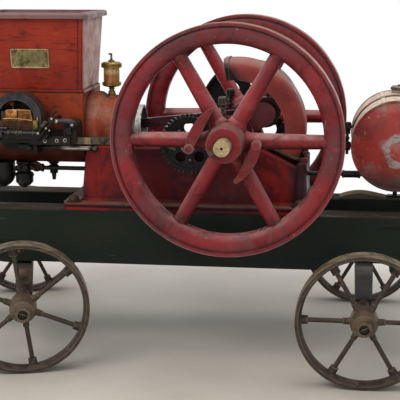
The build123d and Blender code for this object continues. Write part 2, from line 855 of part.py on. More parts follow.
# Belt pulley with a slightly crowned rim and a web with six round holes
with BuildPart() as pulley:
    with BuildSketch(Plane.XY):
        with BuildLine():
            rim_in = pulley_radius - pulley_rim
            Line((rim_in, 0), (pulley_radius - 2, 0))
            ThreePointArc((pulley_radius - 2, 0), (pulley_radius, pulley_face / 2), (pulley_radius - 2, pulley_face))
            Line((pulley_radius - 2, pulley_face), (rim_in, pulley_face))
            Line((rim_in, pulley_face), (rim_in, 0))
        make_face()
    revolve(axis=Axis.Y)
    with BuildSketch(across((pulley_face + pulley_web) / 2)):
        Circle(pulley_radius - pulley_rim / 2)
        with PolarLocations(pulley_hole_circle, 6, start_angle=14):
            Circle(pulley_hole_radius, mode=Mode.SUBTRACT)
    extrude(amount=pulley_web)
    with BuildSketch(across(pulley_face - 10)):
        Circle(pulley_hub_radius)
    extrude(amount=pulley_face - 10)
    with Locations(Location((0, 0, 0), (90, 0, 0))):
        Cylinder(shaft_radius + fit_gap, 3 * pulley_face, mode=Mode.SUBTRACT)
save(pulley.part.moved(Location((crank_x, pulley_near_y, crank_z))), "belt_pulley")


# Gears with involute teeth
def involute(r, base_r):
    t = math.sqrt(max((r / base_r) ** 2 - 1, 0))
    return t - math.atan(t)


def gear_outline(teeth, module):
    pitch = module * teeth / 2
    root = pitch - 1.25 * module
    tip = pitch + module
    base_r = pitch * math.cos(math.radians(pressure_angle))
    half_tooth = (math.pi * module / 2 - gear_backlash) / 2 / pitch
    start = half_tooth + involute(pitch, base_r)
    radii = [max(root + 0.01, base_r), (base_r + pitch) / 2, pitch, (pitch + tip) / 2, tip]
    flank = [(root, start)] if root < base_r else []
    flank += [(r, start - involute(r, base_r)) for r in radii]
    points = []
    for i in range(teeth):
        a = i * 2 * math.pi / teeth
        points += [(r * math.cos(a - w), r * math.sin(a - w)) for r, w in flank]
        points += [(r * math.cos(a + w), r * math.sin(a + w)) for r, w in reversed(flank)]
    return points


mesh_angle = cam_gear_angle
with BuildPart() as pinion:
    with BuildSketch(across(gear_plane_y + gear_face / 2)):
        with Locations(Location((crank_x, crank_z, 0), (0, 0, mesh_angle))):
            Polygon(*gear_outline(pinion_teeth, gear_module), align=None)
            Circle(shaft_radius + fit_gap, mode=Mode.SUBTRACT)
    extrude(amount=gear_face)
save(pinion.part, "crank_pinion")

cam_phase = mesh_angle + 180 + 180 / cam_teeth
with BuildPart() as cam_gear:
    with BuildSketch(across(gear_plane_y + gear_face / 2)):
        with Locations(Location((cam_x, cam_z, 0), (0, 0, cam_phase))):
            Polygon(*gear_outline(cam_teeth, gear_module), align=None)
            Circle(70, mode=Mode.SUBTRACT)
    extrude(amount=gear_face)
    with BuildSketch(across(gear_plane_y + 5)):
        with Locations((cam_x, cam_z)):
            Circle(72)
            with PolarLocations(47, 5, start_angle=20):
                Circle(15, mode=Mode.SUBTRACT)
    extrude(amount=10)
    with BuildSketch(across(gear_plane_y + gear_face / 2)):
        with Locations((cam_x, cam_z)):
            Circle(24)
    extrude(amount=gear_face)
    with Locations(Location((cam_x, gear_plane_y, cam_z), (90, 0, 0))):
        Cylinder(cam_stud_diameter / 2 + fit_gap, 100, mode=Mode.SUBTRACT)
save(cam_gear.part, "cam_gear")

# Exhaust cam on the face of the gear
with BuildPart() as cam_lobe:
    with BuildSketch(across(gear_plane_y - gear_face / 2 - seat_gap)):
        with Locations((cam_x, cam_z)):
            Circle(cam_base_radius)
        with Locations((cam_x + cam_lift * 1.6, cam_z)):
            Circle(cam_base_radius - 7)
        with Locations((cam_x, cam_z)):
            Circle(cam_stud_diameter / 2 + fit_gap, mode=Mode.SUBTRACT)
    extrude(amount=cam_thickness - seat_gap)
save(cam_lobe.part, "exhaust_cam")

stud_end = gear_plane_y - gear_face / 2 - cam_thickness - 6
with BuildPart() as stud:
    with Locations(Location((cam_x, (-base_half_width + stud_end) / 2, cam_z), (90, 0, 0))):
        Cylinder(cam_stud_diameter / 2, -base_half_width - stud_end)
save(stud.part, "cam_stud")

# Push rod bar with its roller end, lying against the cam
cam_nose = cam_lift * 1.6 + cam_base_radius - 7
roller_x = cam_x - cam_nose - seat_gap - 14
with BuildPart() as push_bar:
    with BuildSketch(across(push_bar_y + push_bar_thickness / 2)):
        with BuildLine():
            Polyline(
                (push_bar_left_x, push_bar_z - push_bar_height / 2),
                (roller_x, push_bar_z - push_bar_height / 2),
                (roller_x, push_bar_z + push_bar_height / 2),
                (push_bar_left_x, push_bar_z + push_bar_height / 2),
                close=True,
            )
        make_face()
        with Locations((roller_x, cam_z)):
            Circle(14)
    extrude(amount=push_bar_thickness)
save(push_bar.part, "push_rod")

# Crank guard: a rolled hood over the crank, open underneath
def hood_section(out_radius, half_width, corner):
    with BuildSketch(Plane.XY) as section:
        with Locations(((out_radius + guard_side_radius) / 2, 0)):
            Rectangle(out_radius - guard_side_radius, 2 * half_width)
        fillet(section.vertices().group_by(Axis.X)[-1], corner)
    return section.sketch


hood_inner = guard_radius - guard_thickness
with BuildPart() as guard:
    revolve(
        profiles=hood_section(guard_radius, guard_half_width, guard_corner),
        axis=Axis.Y,
        revolution_arc=guard_end - guard_start,
    )
    revolve(
        profiles=hood_section(guard_radius + guard_lip, guard_half_width + guard_lip, guard_corner + guard_lip),
        axis=Axis.Y,
        revolution_arc=4,
    )
    revolve(
        profiles=hood_section(hood_inner, guard_half_width - guard_thickness, guard_corner - guard_thickness),
        axis=Axis.Y,
        revolution_arc=guard_end - guard_start,
        mode=Mode.SUBTRACT,
    )
hood = guard.part.rotate(Axis.Y, -guard_end).moved(Location((crank_x, 0, crank_z)))

# The hood's foot is bolted down on the rear rim of the base
foot_left = crank_x + (guard_radius - guard_thickness) * math.cos(math.radians(guard_start))
with BuildPart() as guard_full:
    add(hood)
    with Locations(((foot_left + base_right_x - 2) / 2, 0, rear_lip_z + seat_gap + 4)):
        Box(base_right_x - 2 - foot_left, 2 * guard_half_width - 20, 8)
    with Locations((base_right_x - 11, -42, rear_lip_z + 13), (base_right_x - 11, 42, rear_lip_z + 13)):
        Cylinder(8, 12)
save(guard_full.part, "crank_guard")


# Gib head keys driven into both flywheel hubs
def make_key(side):
    with BuildPart() as key:
        with BuildSketch(across(-hub_outer_y + key_length - 2)):
            with Locations(Location((crank_x, crank_z, 0), (0, 0, key_angle))):
                with Locations((shaft_radius + 2 * fit_gap + (key_size - fit_gap) / 2, 0)):
                    Rectangle(key_size - 2 * fit_gap, key_size)
        extrude(amount=key_length - 2 + key_head)
        with BuildSketch(across(-hub_outer_y - key_head + 12)):
            with Locations(Location((crank_x, crank_z, 0), (0, 0, key_angle))):
                with Locations((shaft_radius + 2 * fit_gap + key_size / 2 + 3, 0)):
                    Rectangle(key_size + 6 - 2 * fit_gap, key_size)
        extrude(amount=12)
    if side > 0:
        return key.part.rotate(Axis((crank_x, 0, 0), (0, 0, 1)), 180)
    return key.part


save(Compound(children=[make_key(-1), make_key(1)]), "flywheel_keys")


# Governor weights: plump curved arms that swing on the studs of the near flywheel
def along_ray(point, reach):
    length = math.hypot(point[0], point[1])
    return (point[0] * reach / length, point[1] * reach / length)


def make_weight(name, pin, tip):
    pin_reach = math.hypot(pin[0], pin[1])
    tip_reach = math.hypot(tip[0], tip[1])
    middle = ((pin[0] + tip[0]) / 2, (pin[1] + tip[1]) / 2)
    outer_pin = along_ray(pin, pin_reach + 13)
    inner_pin = along_ray(pin, pin_reach - 13)
    outer_tip = along_ray(tip, tip_reach + 7)
    inner_tip = along_ray(tip, tip_reach - 7)
    with BuildPart() as weight:
        with BuildSketch(across(weight_thickness / 2)):
            with BuildLine():
                ThreePointArc(outer_pin, along_ray(middle, weight_mid_radius + weight_width / 2), outer_tip)
                Line(outer_tip, inner_tip)
                ThreePointArc(inner_tip, along_ray(middle, weight_mid_radius - weight_width / 2), inner_pin)
                Line(inner_pin, outer_pin)
            make_face()
            with Locations(pin):
                Circle(14)
            with Locations(tip):
                Circle(7)
        extrude(amount=weight_thickness)
        with Locations(Location((pin[0], 0, pin[1]), (90, 0, 0))):
            Cylinder(weight_pin_diameter / 2 + fit_gap, 60, mode=Mode.SUBTRACT)
    save(weight.part.moved(Location((crank_x, weight_plane_y, crank_z))), name)


make_weight("governor_weight_left", left_weight_pin, left_weight_tip)
make_weight("governor_weight_right", right_weight_pin, right_weight_tip)

# Valve gear at the far left: rocker arm, valve stem
rocker_z = cam_z - rocker_thickness / 2
end_r = 9.0
outer_c = (push_bar_left_x - tappet_gap - end_r, push_bar_y)
inner_c = (valve_stem_end_x - tappet_gap - end_r, 0)
with BuildPart() as rocker:
    with BuildSketch(Plane.XY.offset(rocker_z)):
        for c, r in ((outer_c, end_r), (inner_c, end_r), ((rocker_pivot_x, rocker_pivot_y), 14)):
            with Locations(c):
                Circle(r)
        with BuildLine():
            Polyline(
                (outer_c[0] - 7, outer_c[1]),
                (outer_c[0] + 7, outer_c[1]),
                (rocker_pivot_x + 11, rocker_pivot_y),
                (inner_c[0] + 7, inner_c[1]),
                (inner_c[0] - 7, inner_c[1]),
                (rocker_pivot_x - 11, rocker_pivot_y),
                close=True,
            )
        make_face()
    extrude(amount=rocker_thickness)
    with Locations((rocker_pivot_x, rocker_pivot_y, cam_z)):
        Cylinder(rocker_pin_diameter / 2 + fit_gap, 60, mode=Mode.SUBTRACT)
save(rocker.part, "rocker_arm")

with BuildPart() as valve:
    with BuildSketch(along(valve_stem_end_x)):
        with Locations((0, cam_z)):
            Circle(valve_stem_diameter / 2)
    extrude(amount=64)
    with BuildSketch(along(valve_stem_end_x + 4)):
        with Locations((0, cam_z)):
            Circle(14)
    extrude(amount=5)
save(valve.part, "exhaust_valve")

# Latch rod below the push rod, with a ball end
with BuildPart() as latch:
    with BuildSketch(along(latch_rod_left)):
        with Locations((latch_rod_y, latch_rod_z)):
            Circle(latch_rod_diameter / 2)
    extrude(amount=latch_rod_right - latch_rod_left)
    with Locations((latch_rod_right, latch_rod_y, latch_rod_z)):
        Sphere(8.5)
save(latch.part, "latch_rod")

# Magneto bracket bolted to the jacket, with guides for the push rod and latch rod
bracket_far_y = -jacket_half_width - seat_gap
shelf_top = magneto_z - 41
block_right = magneto_x + magneto_reach
block_left = block_right - bracket_block_width
guide_x = magneto_x + 44
with BuildPart() as bracket:
    with BuildSketch(across(bracket_far_y)):
        with BuildLine():
            Polyline(
                (magneto_x - 76, latch_rod_z + 12),
                (magneto_x - 53, latch_rod_z - 8),
                (guide_x + 16, latch_rod_z - 8),
                (guide_x + 32, latch_rod_z + 18),
                (block_right, latch_rod_z + 18),
                (block_right, magneto_z - 24),
                (block_left - 6, magneto_z - 24),
                (block_left - 16, shelf_top),
                (magneto_x - 76, shelf_top),
                close=True,
            )
        make_face()
    extrude(amount=bracket_thickness)
    with Locations((magneto_x, (magnet_near_y + bracket_far_y) / 2, shelf_top - 6)):
        Box(158, bracket_far_y - magnet_near_y, 12)
    block_near = push_bar_y - 12
    with BuildSketch(across(bracket_far_y)) as block:
        with Locations(((block_left + block_right) / 2, (magneto_z - 10 + latch_rod_z + 18) / 2)):
            Rectangle(bracket_block_width, magneto_z - 28 - latch_rod_z)
        fillet(block.vertices().group_by(Axis.Z)[-1], bracket_block_corner)
    extrude(amount=bracket_far_y - block_near)
    with Locations((guide_x, (block_near + bracket_far_y) / 2, (shelf_top - 2 + latch_rod_z - 12) / 2)):
        Box(22, bracket_far_y - block_near, shelf_top + 10 - latch_rod_z)
    with Locations((magneto_x, push_bar_y, push_bar_z)):
        Box(
            4 * magneto_reach,
            push_bar_thickness + 2 * slide_gap,
            push_bar_height + 2 * slide_gap,
            mode=Mode.SUBTRACT,
        )
    with Locations(Location((magneto_x, latch_rod_y, latch_rod_z), (0, 90, 0))):
        Cylinder(latch_rod_diameter / 2 + fit_gap, 4 * magneto_reach, mode=Mode.SUBTRACT)
save(bracket.part, "magneto_bracket")

# Horseshoe magnets over the armature housing
with BuildPart() as magnets:
    with BuildSketch(across(magnet_far_y)):
        with Locations((magneto_x, magneto_z)):
            Circle(magnet_outer_radius)
        with Locations((magneto_x, (magneto_z + shelf_top) / 2)):
            Rectangle(2 * magnet_outer_radius, magneto_z - shelf_top - 2 * seat_gap)
        with Locations((magneto_x, magneto_z)):
            Circle(magnet_inner_radius, mode=Mode.SUBTRACT)
        with Locations((magneto_x, magneto_z - 100)):
            Rectangle(2 * magnet_inner_radius, 200, mode=Mode.SUBTRACT)
        with Locations((magneto_x, shelf_top + seat_gap - 60)):
            Rectangle(400, 120, mode=Mode.SUBTRACT)
    extrude(amount=magnet_far_y - magnet_near_y)
save(magnets.part, "magneto_magnets")

housing_half = magnet_inner_radius - seat_gap
with BuildPart() as housing:
    with BuildSketch(across(magnet_far_y + 4)):
        with Locations((magneto_x, shelf_top + seat_gap + 18)):
            Rectangle(2 * housing_half, 36)
    extrude(amount=magnet_far_y - magnet_near_y + 10)
    with BuildSketch(across(magnet_far_y + 2)):
        with Locations((magneto_x, shelf_top + seat_gap + 36 + 13)):
            RectangleRounded(86, 26, 4)
    extrude(amount=magnet_far_y - magnet_near_y + 4)
save(housing.part, "magneto_housing")

# Drip oiler on the cylinder barrel
glass_z = oiler_cup_bottom + 11
oiler_cap_z = glass_z + oiler_glass_height
with BuildPart() as oiler:
    with BuildSketch(Plane.XZ):
        with BuildLine():
            Polyline(
                (0, oiler_boss_top + seat_gap),
                (12, oiler_boss_top + seat_gap),
                (12, oiler_boss_top + 6),
                (7, oiler_boss_top + 8),
                (7, oiler_cup_bottom - 5),
                (oiler_cap_radius - 6, oiler_cup_bottom),
                (oiler_cap_radius - 2, oiler_cup_bottom + 3),
                (oiler_cap_radius - 2, glass_z),
                (5, glass_z),
                (5, oiler_cap_z),
                (oiler_cap_radius, oiler_cap_z),
                (oiler_cap_radius, oiler_cap_z + 12),
                (oiler_cap_radius - 4, oiler_cap_z + 16),
                (6, oiler_cap_z + 19),
                (0, oiler_cap_z + 19),
                close=True,
            )
        make_face()
    revolve(axis=Axis.Z)
save(oiler.part.moved(Location((oiler_x, 0, 0))), "oiler")

with BuildPart() as glass:
    with BuildSketch(Plane.XY.offset(glass_z + 0.1)):
        with Locations((oiler_x, 0)):
            Circle(oiler_glass_radius)
            Circle(oiler_glass_radius - 3, mode=Mode.SUBTRACT)
    extrude(amount=oiler_glass_height - 0.2)
save(glass.part, "oiler_glass")

lever_z = oiler_cap_z + 19 + seat_gap + 4
with BuildPart() as lever:
    with BuildSketch(across(3)):
        with Locations((oiler_x, lever_z)):
            Circle(4)
        with Locations((oiler_x, lever_z + 9)):
            Rectangle(5, 18)
        with Locations((oiler_x - 3, lever_z + 17)):
            Rectangle(11, 5)
    extrude(amount=6)
save(lever.part, "oiler_lever")

# Grease cups on the bearing caps
cap_top = crank_z + 46
cup_offset = 32.0
cups = []
for side in (-1, 1):
    mid_y = side * (base_half_width + bearing_inner_y) / 2
    with BuildPart() as cup:
        with BuildSketch(Plane.XZ):
            with BuildLine():
                Polyline(
                    (0, 0),
                    (5, 0),
                    (5, 30),
                    (13.5, 32),
                    (13.5, 53),
                    (10, 57),
                    (0, 57),
                    close=True,
                )
            make_face()
        revolve(axis=Axis.Z)
    cups.append(cup.part.moved(Location((crank_x - cup_offset, mid_y, cap_top + seat_gap))))
save(Compound(children=cups), "grease_cups")

# Mixer, muffler pot and drain cock under the cylinder
under = jacket_bottom - seat_gap
mixer_spigot = mixer_bowl_radius + 8
with BuildPart() as mixer:
    with BuildSketch(Plane.XZ):
        with BuildLine():
            Polyline(
                (0, -73),
                (17, -73),
                (mixer_bowl_radius, -63),
                (mixer_bowl_radius, -36),
                (18, -29),
                (14, -8),
                (24, -8),
                (24, 0),
                (0, 0),
                close=True,
            )
        make_face()
    revolve(axis=Axis.Z)
    with Locations(Location((mixer_spigot - 13, 0, pipe_z - under), (0, 90, 0))):
        Cylinder(9, 26)
save(mixer.part.moved(Location((mixer_x, pipe_y, under))), "mixer")

with BuildPart() as muffler:
    with BuildSketch(Plane.XZ):
        with BuildLine():
            Line((0, 0), (pot_radius, 0))
            Line((pot_radius, 0), (pot_radius, -38))
            RadiusArc((pot_radius, -38), (0, -38 - pot_radius), pot_radius)
            Line((0, -38 - pot_radius), (0, 0))
        make_face()
    revolve(axis=Axis.Z)
save(muffler.part.moved(Location((muffler_x, pipe_y, under))), "muffler")

with BuildPart() as cock:
    with BuildSketch(Plane.XZ):
        with BuildLine():
            Polyline(
                (0, -60),
                (5, -60),
                (8, -38),
                (13, -33),
                (13, -15),
                (8, -10),
                (15, -10),
                (15, 0),
                (0, 0),
                close=True,
            )
        make_face()
    revolve(axis=Axis.Z)
    with Locations((0, -11, -24)):
        Box(6, 22, 10)
save(cock.part.moved(Location((cock_x, cock_y, under))), "drain_cock")

# Fuel pipe from the tank through the base to the mixer
pipe_z_reach = min(tank_radius - 2, abs(tank_z - pipe_z) - pipe_diameter / 2)
tank_left = tank_x - math.sqrt(tank_radius**2 - pipe_z_reach**2)
pipe_start = mixer_x + mixer_spigot + seat_gap
pipe_end = tank_left - seat_gap
with BuildPart() as pipe:
    with BuildSketch(along(pipe_start)):
        with Locations((pipe_y, pipe_z)):
            Circle(pipe_diameter / 2)
    extrude(amount=pipe_end - pipe_start)
    with BuildSketch(along(pipe_start)):
        with Locations((pipe_y, pipe_z)):
            RegularPolygon(11, 6)
    extrude(amount=24)
    with BuildSketch(along(pipe_end - 58)):
        with Locations((pipe_y, pipe_z)):
            RegularPolygon(11, 6)
    extrude(amount=46)
save(pipe.part, "fuel_pipe")

# Fuel tank with domed ends and rolled seams
dome_radius = (tank_radius**2 + tank_dome**2) / (2 * tank_dome)
dome_half_angle = math.asin(tank_radius / dome_radius) / 2
dome_mid_x = dome_radius * math.sin(dome_half_angle)
dome_mid_rise = tank_dome - dome_radius * (1 - math.cos(dome_half_angle))
with BuildPart() as tank:
    with BuildSketch(Plane.XY):
        with BuildLine():
            Line((0, -tank_half_length - tank_dome), (0, tank_half_length + tank_dome))
            ThreePointArc(
                (0, tank_half_length + tank_dome),
                (dome_mid_x, tank_half_length + dome_mid_rise),
                (tank_radius, tank_half_length),
            )
            Line((tank_radius, tank_half_length), (tank_radius, -tank_half_length))
            ThreePointArc(
                (tank_radius, -tank_half_length),
                (dome_mid_x, -tank_half_length - dome_mid_rise),
                (0, -tank_half_length - tank_dome),
            )
        make_face()
    revolve(axis=Axis.Y)
    for y in (-tank_half_length, tank_half_length):
        with Locations(Location((0, y, 0), (90, 0, 0))):
            Cylinder(tank_radius + tank_seam, 7)
    with Locations((14, 96, tank_radius + 4)):
        Cylinder(26, 20)
save(tank.part.moved(Location((tank_x, 0, tank_z))), "fuel_tank")

# Strap round the tank with its clamp bolt
with BuildPart() as strap:
    with BuildSketch(across(14)):
        Circle(tank_radius + seat_gap + 3)
        Circle(tank_radius + seat_gap, mode=Mode.SUBTRACT)
        with Locations((-tank_radius, 6)):
            Rectangle(60, 54, mode=Mode.SUBTRACT)
    extrude(amount=28)
    for z in (35, -23):
        with Locations((-tank_radius - 9, 0, z)):
            Box(22, 28, 5)
    with BuildSketch(across(14)):
        Circle(tank_radius + seat_gap)
    extrude(amount=28, mode=Mode.SUBTRACT)
    with Locations((-tank_radius - 13, 0, 0)):
        Cylinder(4.5, 96)
    with Locations((-tank_radius - 13, 0, 43), (-tank_radius - 13, 0, -31)):
        Cylinder(9, 9)
save(strap.part.moved(Location((tank_x, 0, tank_z))), "tank_strap")

# Legs under the tank: a rod on each beam with a foot plate and a curved pad
leg_foot = beam_top + seat_gap
legs = []
for side, leg_shift in ((-1, tank_near_leg_shift), (1, tank_far_leg_shift)):
    leg_spot = (tank_x + leg_shift, side * tank_leg_y)
    with BuildPart() as leg:
        with Locations((leg_spot[0], leg_spot[1], leg_foot + 2.5)):
            Box(46, 26, 5)
        with BuildSketch(Plane.XY.offset(leg_foot)):
            with Locations(leg_spot):
                Circle(tank_leg_diameter / 2)
        extrude(amount=tank_z - leg_foot)
        with Locations((leg_spot[0], leg_spot[1], tank_z - tank_radius + 2)):
            Box(50, 24, 14)
        with Locations(Location((tank_x, 0, tank_z), (90, 0, 0))):
            Cylinder(tank_radius + tank_seam + seat_gap, 5 * tank_half_length, mode=Mode.SUBTRACT)
    legs.append(leg.part)
save(Compound(children=legs), "tank_legs")
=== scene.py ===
import bpy
import bmesh
import math
from mathutils import Matrix, Vector


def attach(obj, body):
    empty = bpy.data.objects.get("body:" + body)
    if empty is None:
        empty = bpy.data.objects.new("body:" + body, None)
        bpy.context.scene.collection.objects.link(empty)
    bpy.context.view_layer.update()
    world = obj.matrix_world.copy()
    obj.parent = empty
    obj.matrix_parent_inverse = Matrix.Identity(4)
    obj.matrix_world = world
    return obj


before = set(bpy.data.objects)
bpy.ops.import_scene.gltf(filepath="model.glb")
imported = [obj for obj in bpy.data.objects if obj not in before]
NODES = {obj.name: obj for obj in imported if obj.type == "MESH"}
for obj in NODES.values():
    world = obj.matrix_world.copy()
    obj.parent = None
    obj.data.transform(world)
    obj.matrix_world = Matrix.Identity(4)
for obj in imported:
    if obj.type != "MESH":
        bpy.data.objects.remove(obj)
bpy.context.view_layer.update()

# Places and lengths shared with the CAD part, in millimetres; places in materials are in metres
MM = 0.001
CRANK = Vector((170, 0, 650))
CAM = Vector((47.4, 0, 620.8))
TANK = Vector((640, 0, 622))
OILER_X = -213
STROKE_HALF, ROD_LENGTH, CRANK_TURN = 97, 450, math.radians(29)
WHEEL_RADIUS = 186
HALF_TRACK = 424
REAR_X = 556
FRONT_X = -501
STEER = math.radians(15)


def placed(name, data):
    """A new object in the scene."""
    obj = bpy.data.objects.new(name, data)
    bpy.context.scene.collection.objects.link(obj)
    return obj


def rgb(code):
    """A linear colour from a six digit sRGB code."""
    parts = [int(code[i:i + 2], 16) / 255 for i in (0, 2, 4)]
    return tuple(c / 12.92 if c <= 0.04045 else ((c + 0.055) / 1.055) ** 2.4 for c in parts) + (1.0,)


class Graph:
    """A material with a Principled shader, the colour painted so far, and short calls for its nodes."""

    def __init__(self, name):
        self.mat = bpy.data.materials.new(name)
        self.mat.use_nodes = True
        self.tree = self.mat.node_tree
        self.tree.nodes.clear()
        self.shader = self.add("ShaderNodeBsdfPrincipled")
        self.out = self.add("ShaderNodeOutputMaterial", {0: self.shader.outputs[0]})
        self.place = self.add("ShaderNodeTexCoord").outputs["Object"]
        self.colour = None

    def put(self, socket, value):
        """Links a socket, or sets a colour code or a constant."""
        if isinstance(value, bpy.types.NodeSocket):
            self.tree.links.new(value, socket)
        else:
            socket.default_value = rgb(value) if isinstance(value, str) else value

    def add(self, kind, inputs=None, **settings):
        node = self.tree.nodes.new(kind)
        for key, value in settings.items():
            setattr(node, key, value)
        for key, value in (inputs or {}).items():
            self.put(node.inputs[key], value)
        return node

    def mapped(self, stretch=(1, 1, 1), shift=(0, 0, 0)):
        return self.add("ShaderNodeMapping", {"Vector": self.place, "Scale": stretch, "Location": shift}).outputs[0]

    def noise(self, scale, detail=4.0, rough=0.55, stretch=(1, 1, 1), shift=(0, 0, 0), twist=0.0):
        inputs = {"Vector": self.mapped(stretch, shift), "Scale": scale, "Detail": detail, "Roughness": rough}
        return self.add("ShaderNodeTexNoise", {**inputs, "Distortion": twist}).outputs["Fac"]

    def calc(self, kind, a, b=0.0, clamp=True):
        return self.add("ShaderNodeMath", {0: a, 1: b}, operation=kind, use_clamp=clamp).outputs[0]

    def raw(self, kind, a, b=0.0):
        return self.calc(kind, a, b, False)

    def span(self, value, low, high, to_low=0.0, to_high=1.0):
        inputs = {"Value": value, "From Min": low, "From Max": high, "To Min": to_low, "To Max": to_high}
        return self.add("ShaderNodeMapRange", inputs, interpolation_type="SMOOTHSTEP").outputs[0]

    def share(self, value):
        """A share is a socket, a number, or a tuple with the arguments of a span."""
        return self.span(*value) if isinstance(value, tuple) else value

    def chain(self, kind, values):
        total = self.share(values[0])
        for value in values[1:]:
            total = self.calc(kind, total, self.share(value))
        return total

    def times(self, *shares):
        return self.chain("MULTIPLY", shares)

    def plus(self, *shares):
        return self.chain("ADD", shares)

    def most(self, *shares):
        return self.chain("MAXIMUM", shares)

    def rest(self, share):
        return self.calc("SUBTRACT", 1.0, share)

    def band(self, value, rise, full, fall, end):
        """1 between full and fall, 0 before rise and past end."""
        return self.times((value, rise, full), (value, fall, end, 1, 0))

    def mix(self, share, a, b):
        return self.add("ShaderNodeMix", {0: self.share(share), 6: a, 7: b}, data_type="RGBA").outputs[2]

    def coat(self, code, *shares):
        """Covers the colour so far with another one, by the product of the shares."""
        self.colour = self.mix(self.times(*shares), self.colour, code)

    def parts(self, vector):
        return self.add("ShaderNodeSeparateXYZ", {0: vector}).outputs[0:3]

    def here(self):
        return self.parts(self.place)

    def normal(self):
        return self.add("ShaderNodeNewGeometry").outputs["Normal"]

    def facing(self):
        return self.parts(self.normal())

    def vector(self, kind, a, b=(0, 0, 0), scale=1.0):
        node = self.add("ShaderNodeVectorMath", {0: a, 1: b, 3: scale}, operation=kind)
        return node.outputs["Value" if kind in ("LENGTH", "DOT_PRODUCT") else "Vector"]

    def from_line(self, centre, axis=(0, 1, 0)):
        """The offset from the line through the centre along the axis."""
        away = self.vector("SUBTRACT", self.place, centre)
        along = self.vector("SCALE", axis, scale=self.vector("DOT_PRODUCT", away, axis))
        return self.vector("SUBTRACT", away, along)

    def ring(self, x, z, flat=1.0, wobble=0.0):
        """Distance from the line through (x, z) along Y, squeezed in height and blurred by noise."""
        offset = self.vector("SUBTRACT", self.place, (x, 0, z))
        away = self.vector("LENGTH", self.vector("MULTIPLY", offset, (1, 0, flat)))
        if wobble:
            shake = self.raw("SUBTRACT", self.noise(30, 8, 0.75, twist=0.8), 0.5)
            away = self.raw("ADD", away, self.raw("MULTIPLY", shake, wobble))
        return away

    def edges(self, radius):
        """1 on sharp corners within the radius, 0 on flat faces."""
        bevel = self.add("ShaderNodeBevel", {"Radius": radius}, samples=4)
        return self.span(self.rest(self.vector("DOT_PRODUCT", bevel.outputs[0], self.normal())), 0.002, 0.12)

    def hollow(self, distance):
        """1 in deep corners, where ambient shade falls, 0 in the open."""
        node = self.add("ShaderNodeAmbientOcclusion", {"Distance": distance}, samples=6)
        return self.span(node.outputs["AO"], 0.35, 0.95, 1, 0)

    def bump(self, *layers):
        """layers are (height socket, strength, distance)."""
        below = {}
        for height, strength, distance in layers:
            inputs = {"Height": height, "Strength": strength, "Distance": distance, **below}
            below = {"Normal": self.add("ShaderNodeBump", inputs).outputs[0]}
        self.put(self.shader.inputs["Normal"], below["Normal"])

    def seen(self):
        """1 for what the camera sees straight, in a mirror or through glass, 0 for stray light."""
        path = self.add("ShaderNodeLightPath")
        return self.most(*[path.outputs[f"Is {kind} Ray"] for kind in ("Camera", "Glossy", "Transmission")])

    def blend(self, share, first, second):
        """Puts a mix of two shaders on the output."""
        node = self.add("ShaderNodeMixShader", {0: share, 1: first.outputs[0], 2: second.outputs[0]})
        self.put(self.out.inputs[0], node.outputs[0])

    def finish(self, rough, metallic=0.0, **constants):
        for key, value in (("Base Color", self.colour), ("Roughness", rough), ("Metallic", metallic)):
            self.put(self.shader.inputs[key], value)
        for key, value in constants.items():
            self.shader.inputs[key.replace("_", " ")].default_value = value
        return self.mat


def paint(name, codes, wear=0.5, gloss=0.42, cast=0.5, radius=0.004, extra=None, sheen=0.22, top=None):
    """Old enamel over cast iron: faded patches, scuffs down to metal on the edges, dirt and painted shade in the
    corners.

    codes are the main, second, worn and dirt colours, and a bright one where it isn't the main one.
    """
    main, second, worn, dirt, bright = (codes.split() * 2)[:5]
    g = Graph(name)
    broad = g.noise(4.5, 3, 0.5, shift=(3, 1, 2))
    middle = g.noise(21, 8, 0.62, twist=0.6)
    blotch = g.noise(12, 8, 0.7, shift=(9, 2, 5), twist=0.8)
    scuff = g.times((middle, 0.6 - 0.08 * wear, 0.74), (broad, 0.3, 0.62))
    g.colour = g.mix((broad, 0.35, 0.68), main, second)
    g.coat(dirt, (blotch, 0.54, 0.68, 0, 0.6))
    g.coat(bright, (blotch, 0.46, 0.32, 0, 0.45))
    g.coat(worn, (g.noise(9, 6, 0.65, stretch=(5, 5, 0.7)), 0.5, 0.8, 0, 0.35))
    g.coat(worn, scuff, 0.75 * wear + 0.1)
    if extra:
        extra(g)
    g.coat(worn, g.edges(radius), (g.noise(48, 6, 0.7), 0.36, 0.62), min(1.0, 0.45 + wear * 0.5))
    g.coat(dirt, (g.noise(90, 7, 0.7, shift=(7, 0, 0)), 0.66, 0.74), 0.8)
    up = g.facing()[2]
    # Grey-brown on the upward faces: dust and a painted sheen.
    if top:
        g.coat(top, (up, 0.4, 0.95), (middle, 0.3, 0.6, 0.35, 0.9))
    # Dirt and painted shade in the corners, from an ambient occlusion mask.
    dirt_and_shade_in_corners = g.times(g.hollow(0.035), (middle, 0.2, 0.7, 0.75, 1))
    g.coat(dirt, dirt_and_shade_in_corners, 0.72)
    rough = g.plus((middle, 0.3, 0.75, gloss - 0.1, gloss + 0.22), g.times(scuff, 0.12), g.times(dirt_and_shade_in_corners, 0.2),
                   (up, 0.6, 0.95, 0, 0.3))
    g.bump((g.noise(75, 5, 0.6), 0.22 * cast, 0.002), (g.noise(160, 4, 0.6), 0.12 * cast, 0.0008),
           (scuff, -0.25, 0.0006))
    return g.finish(rough, Specular_IOR_Level=sheen)


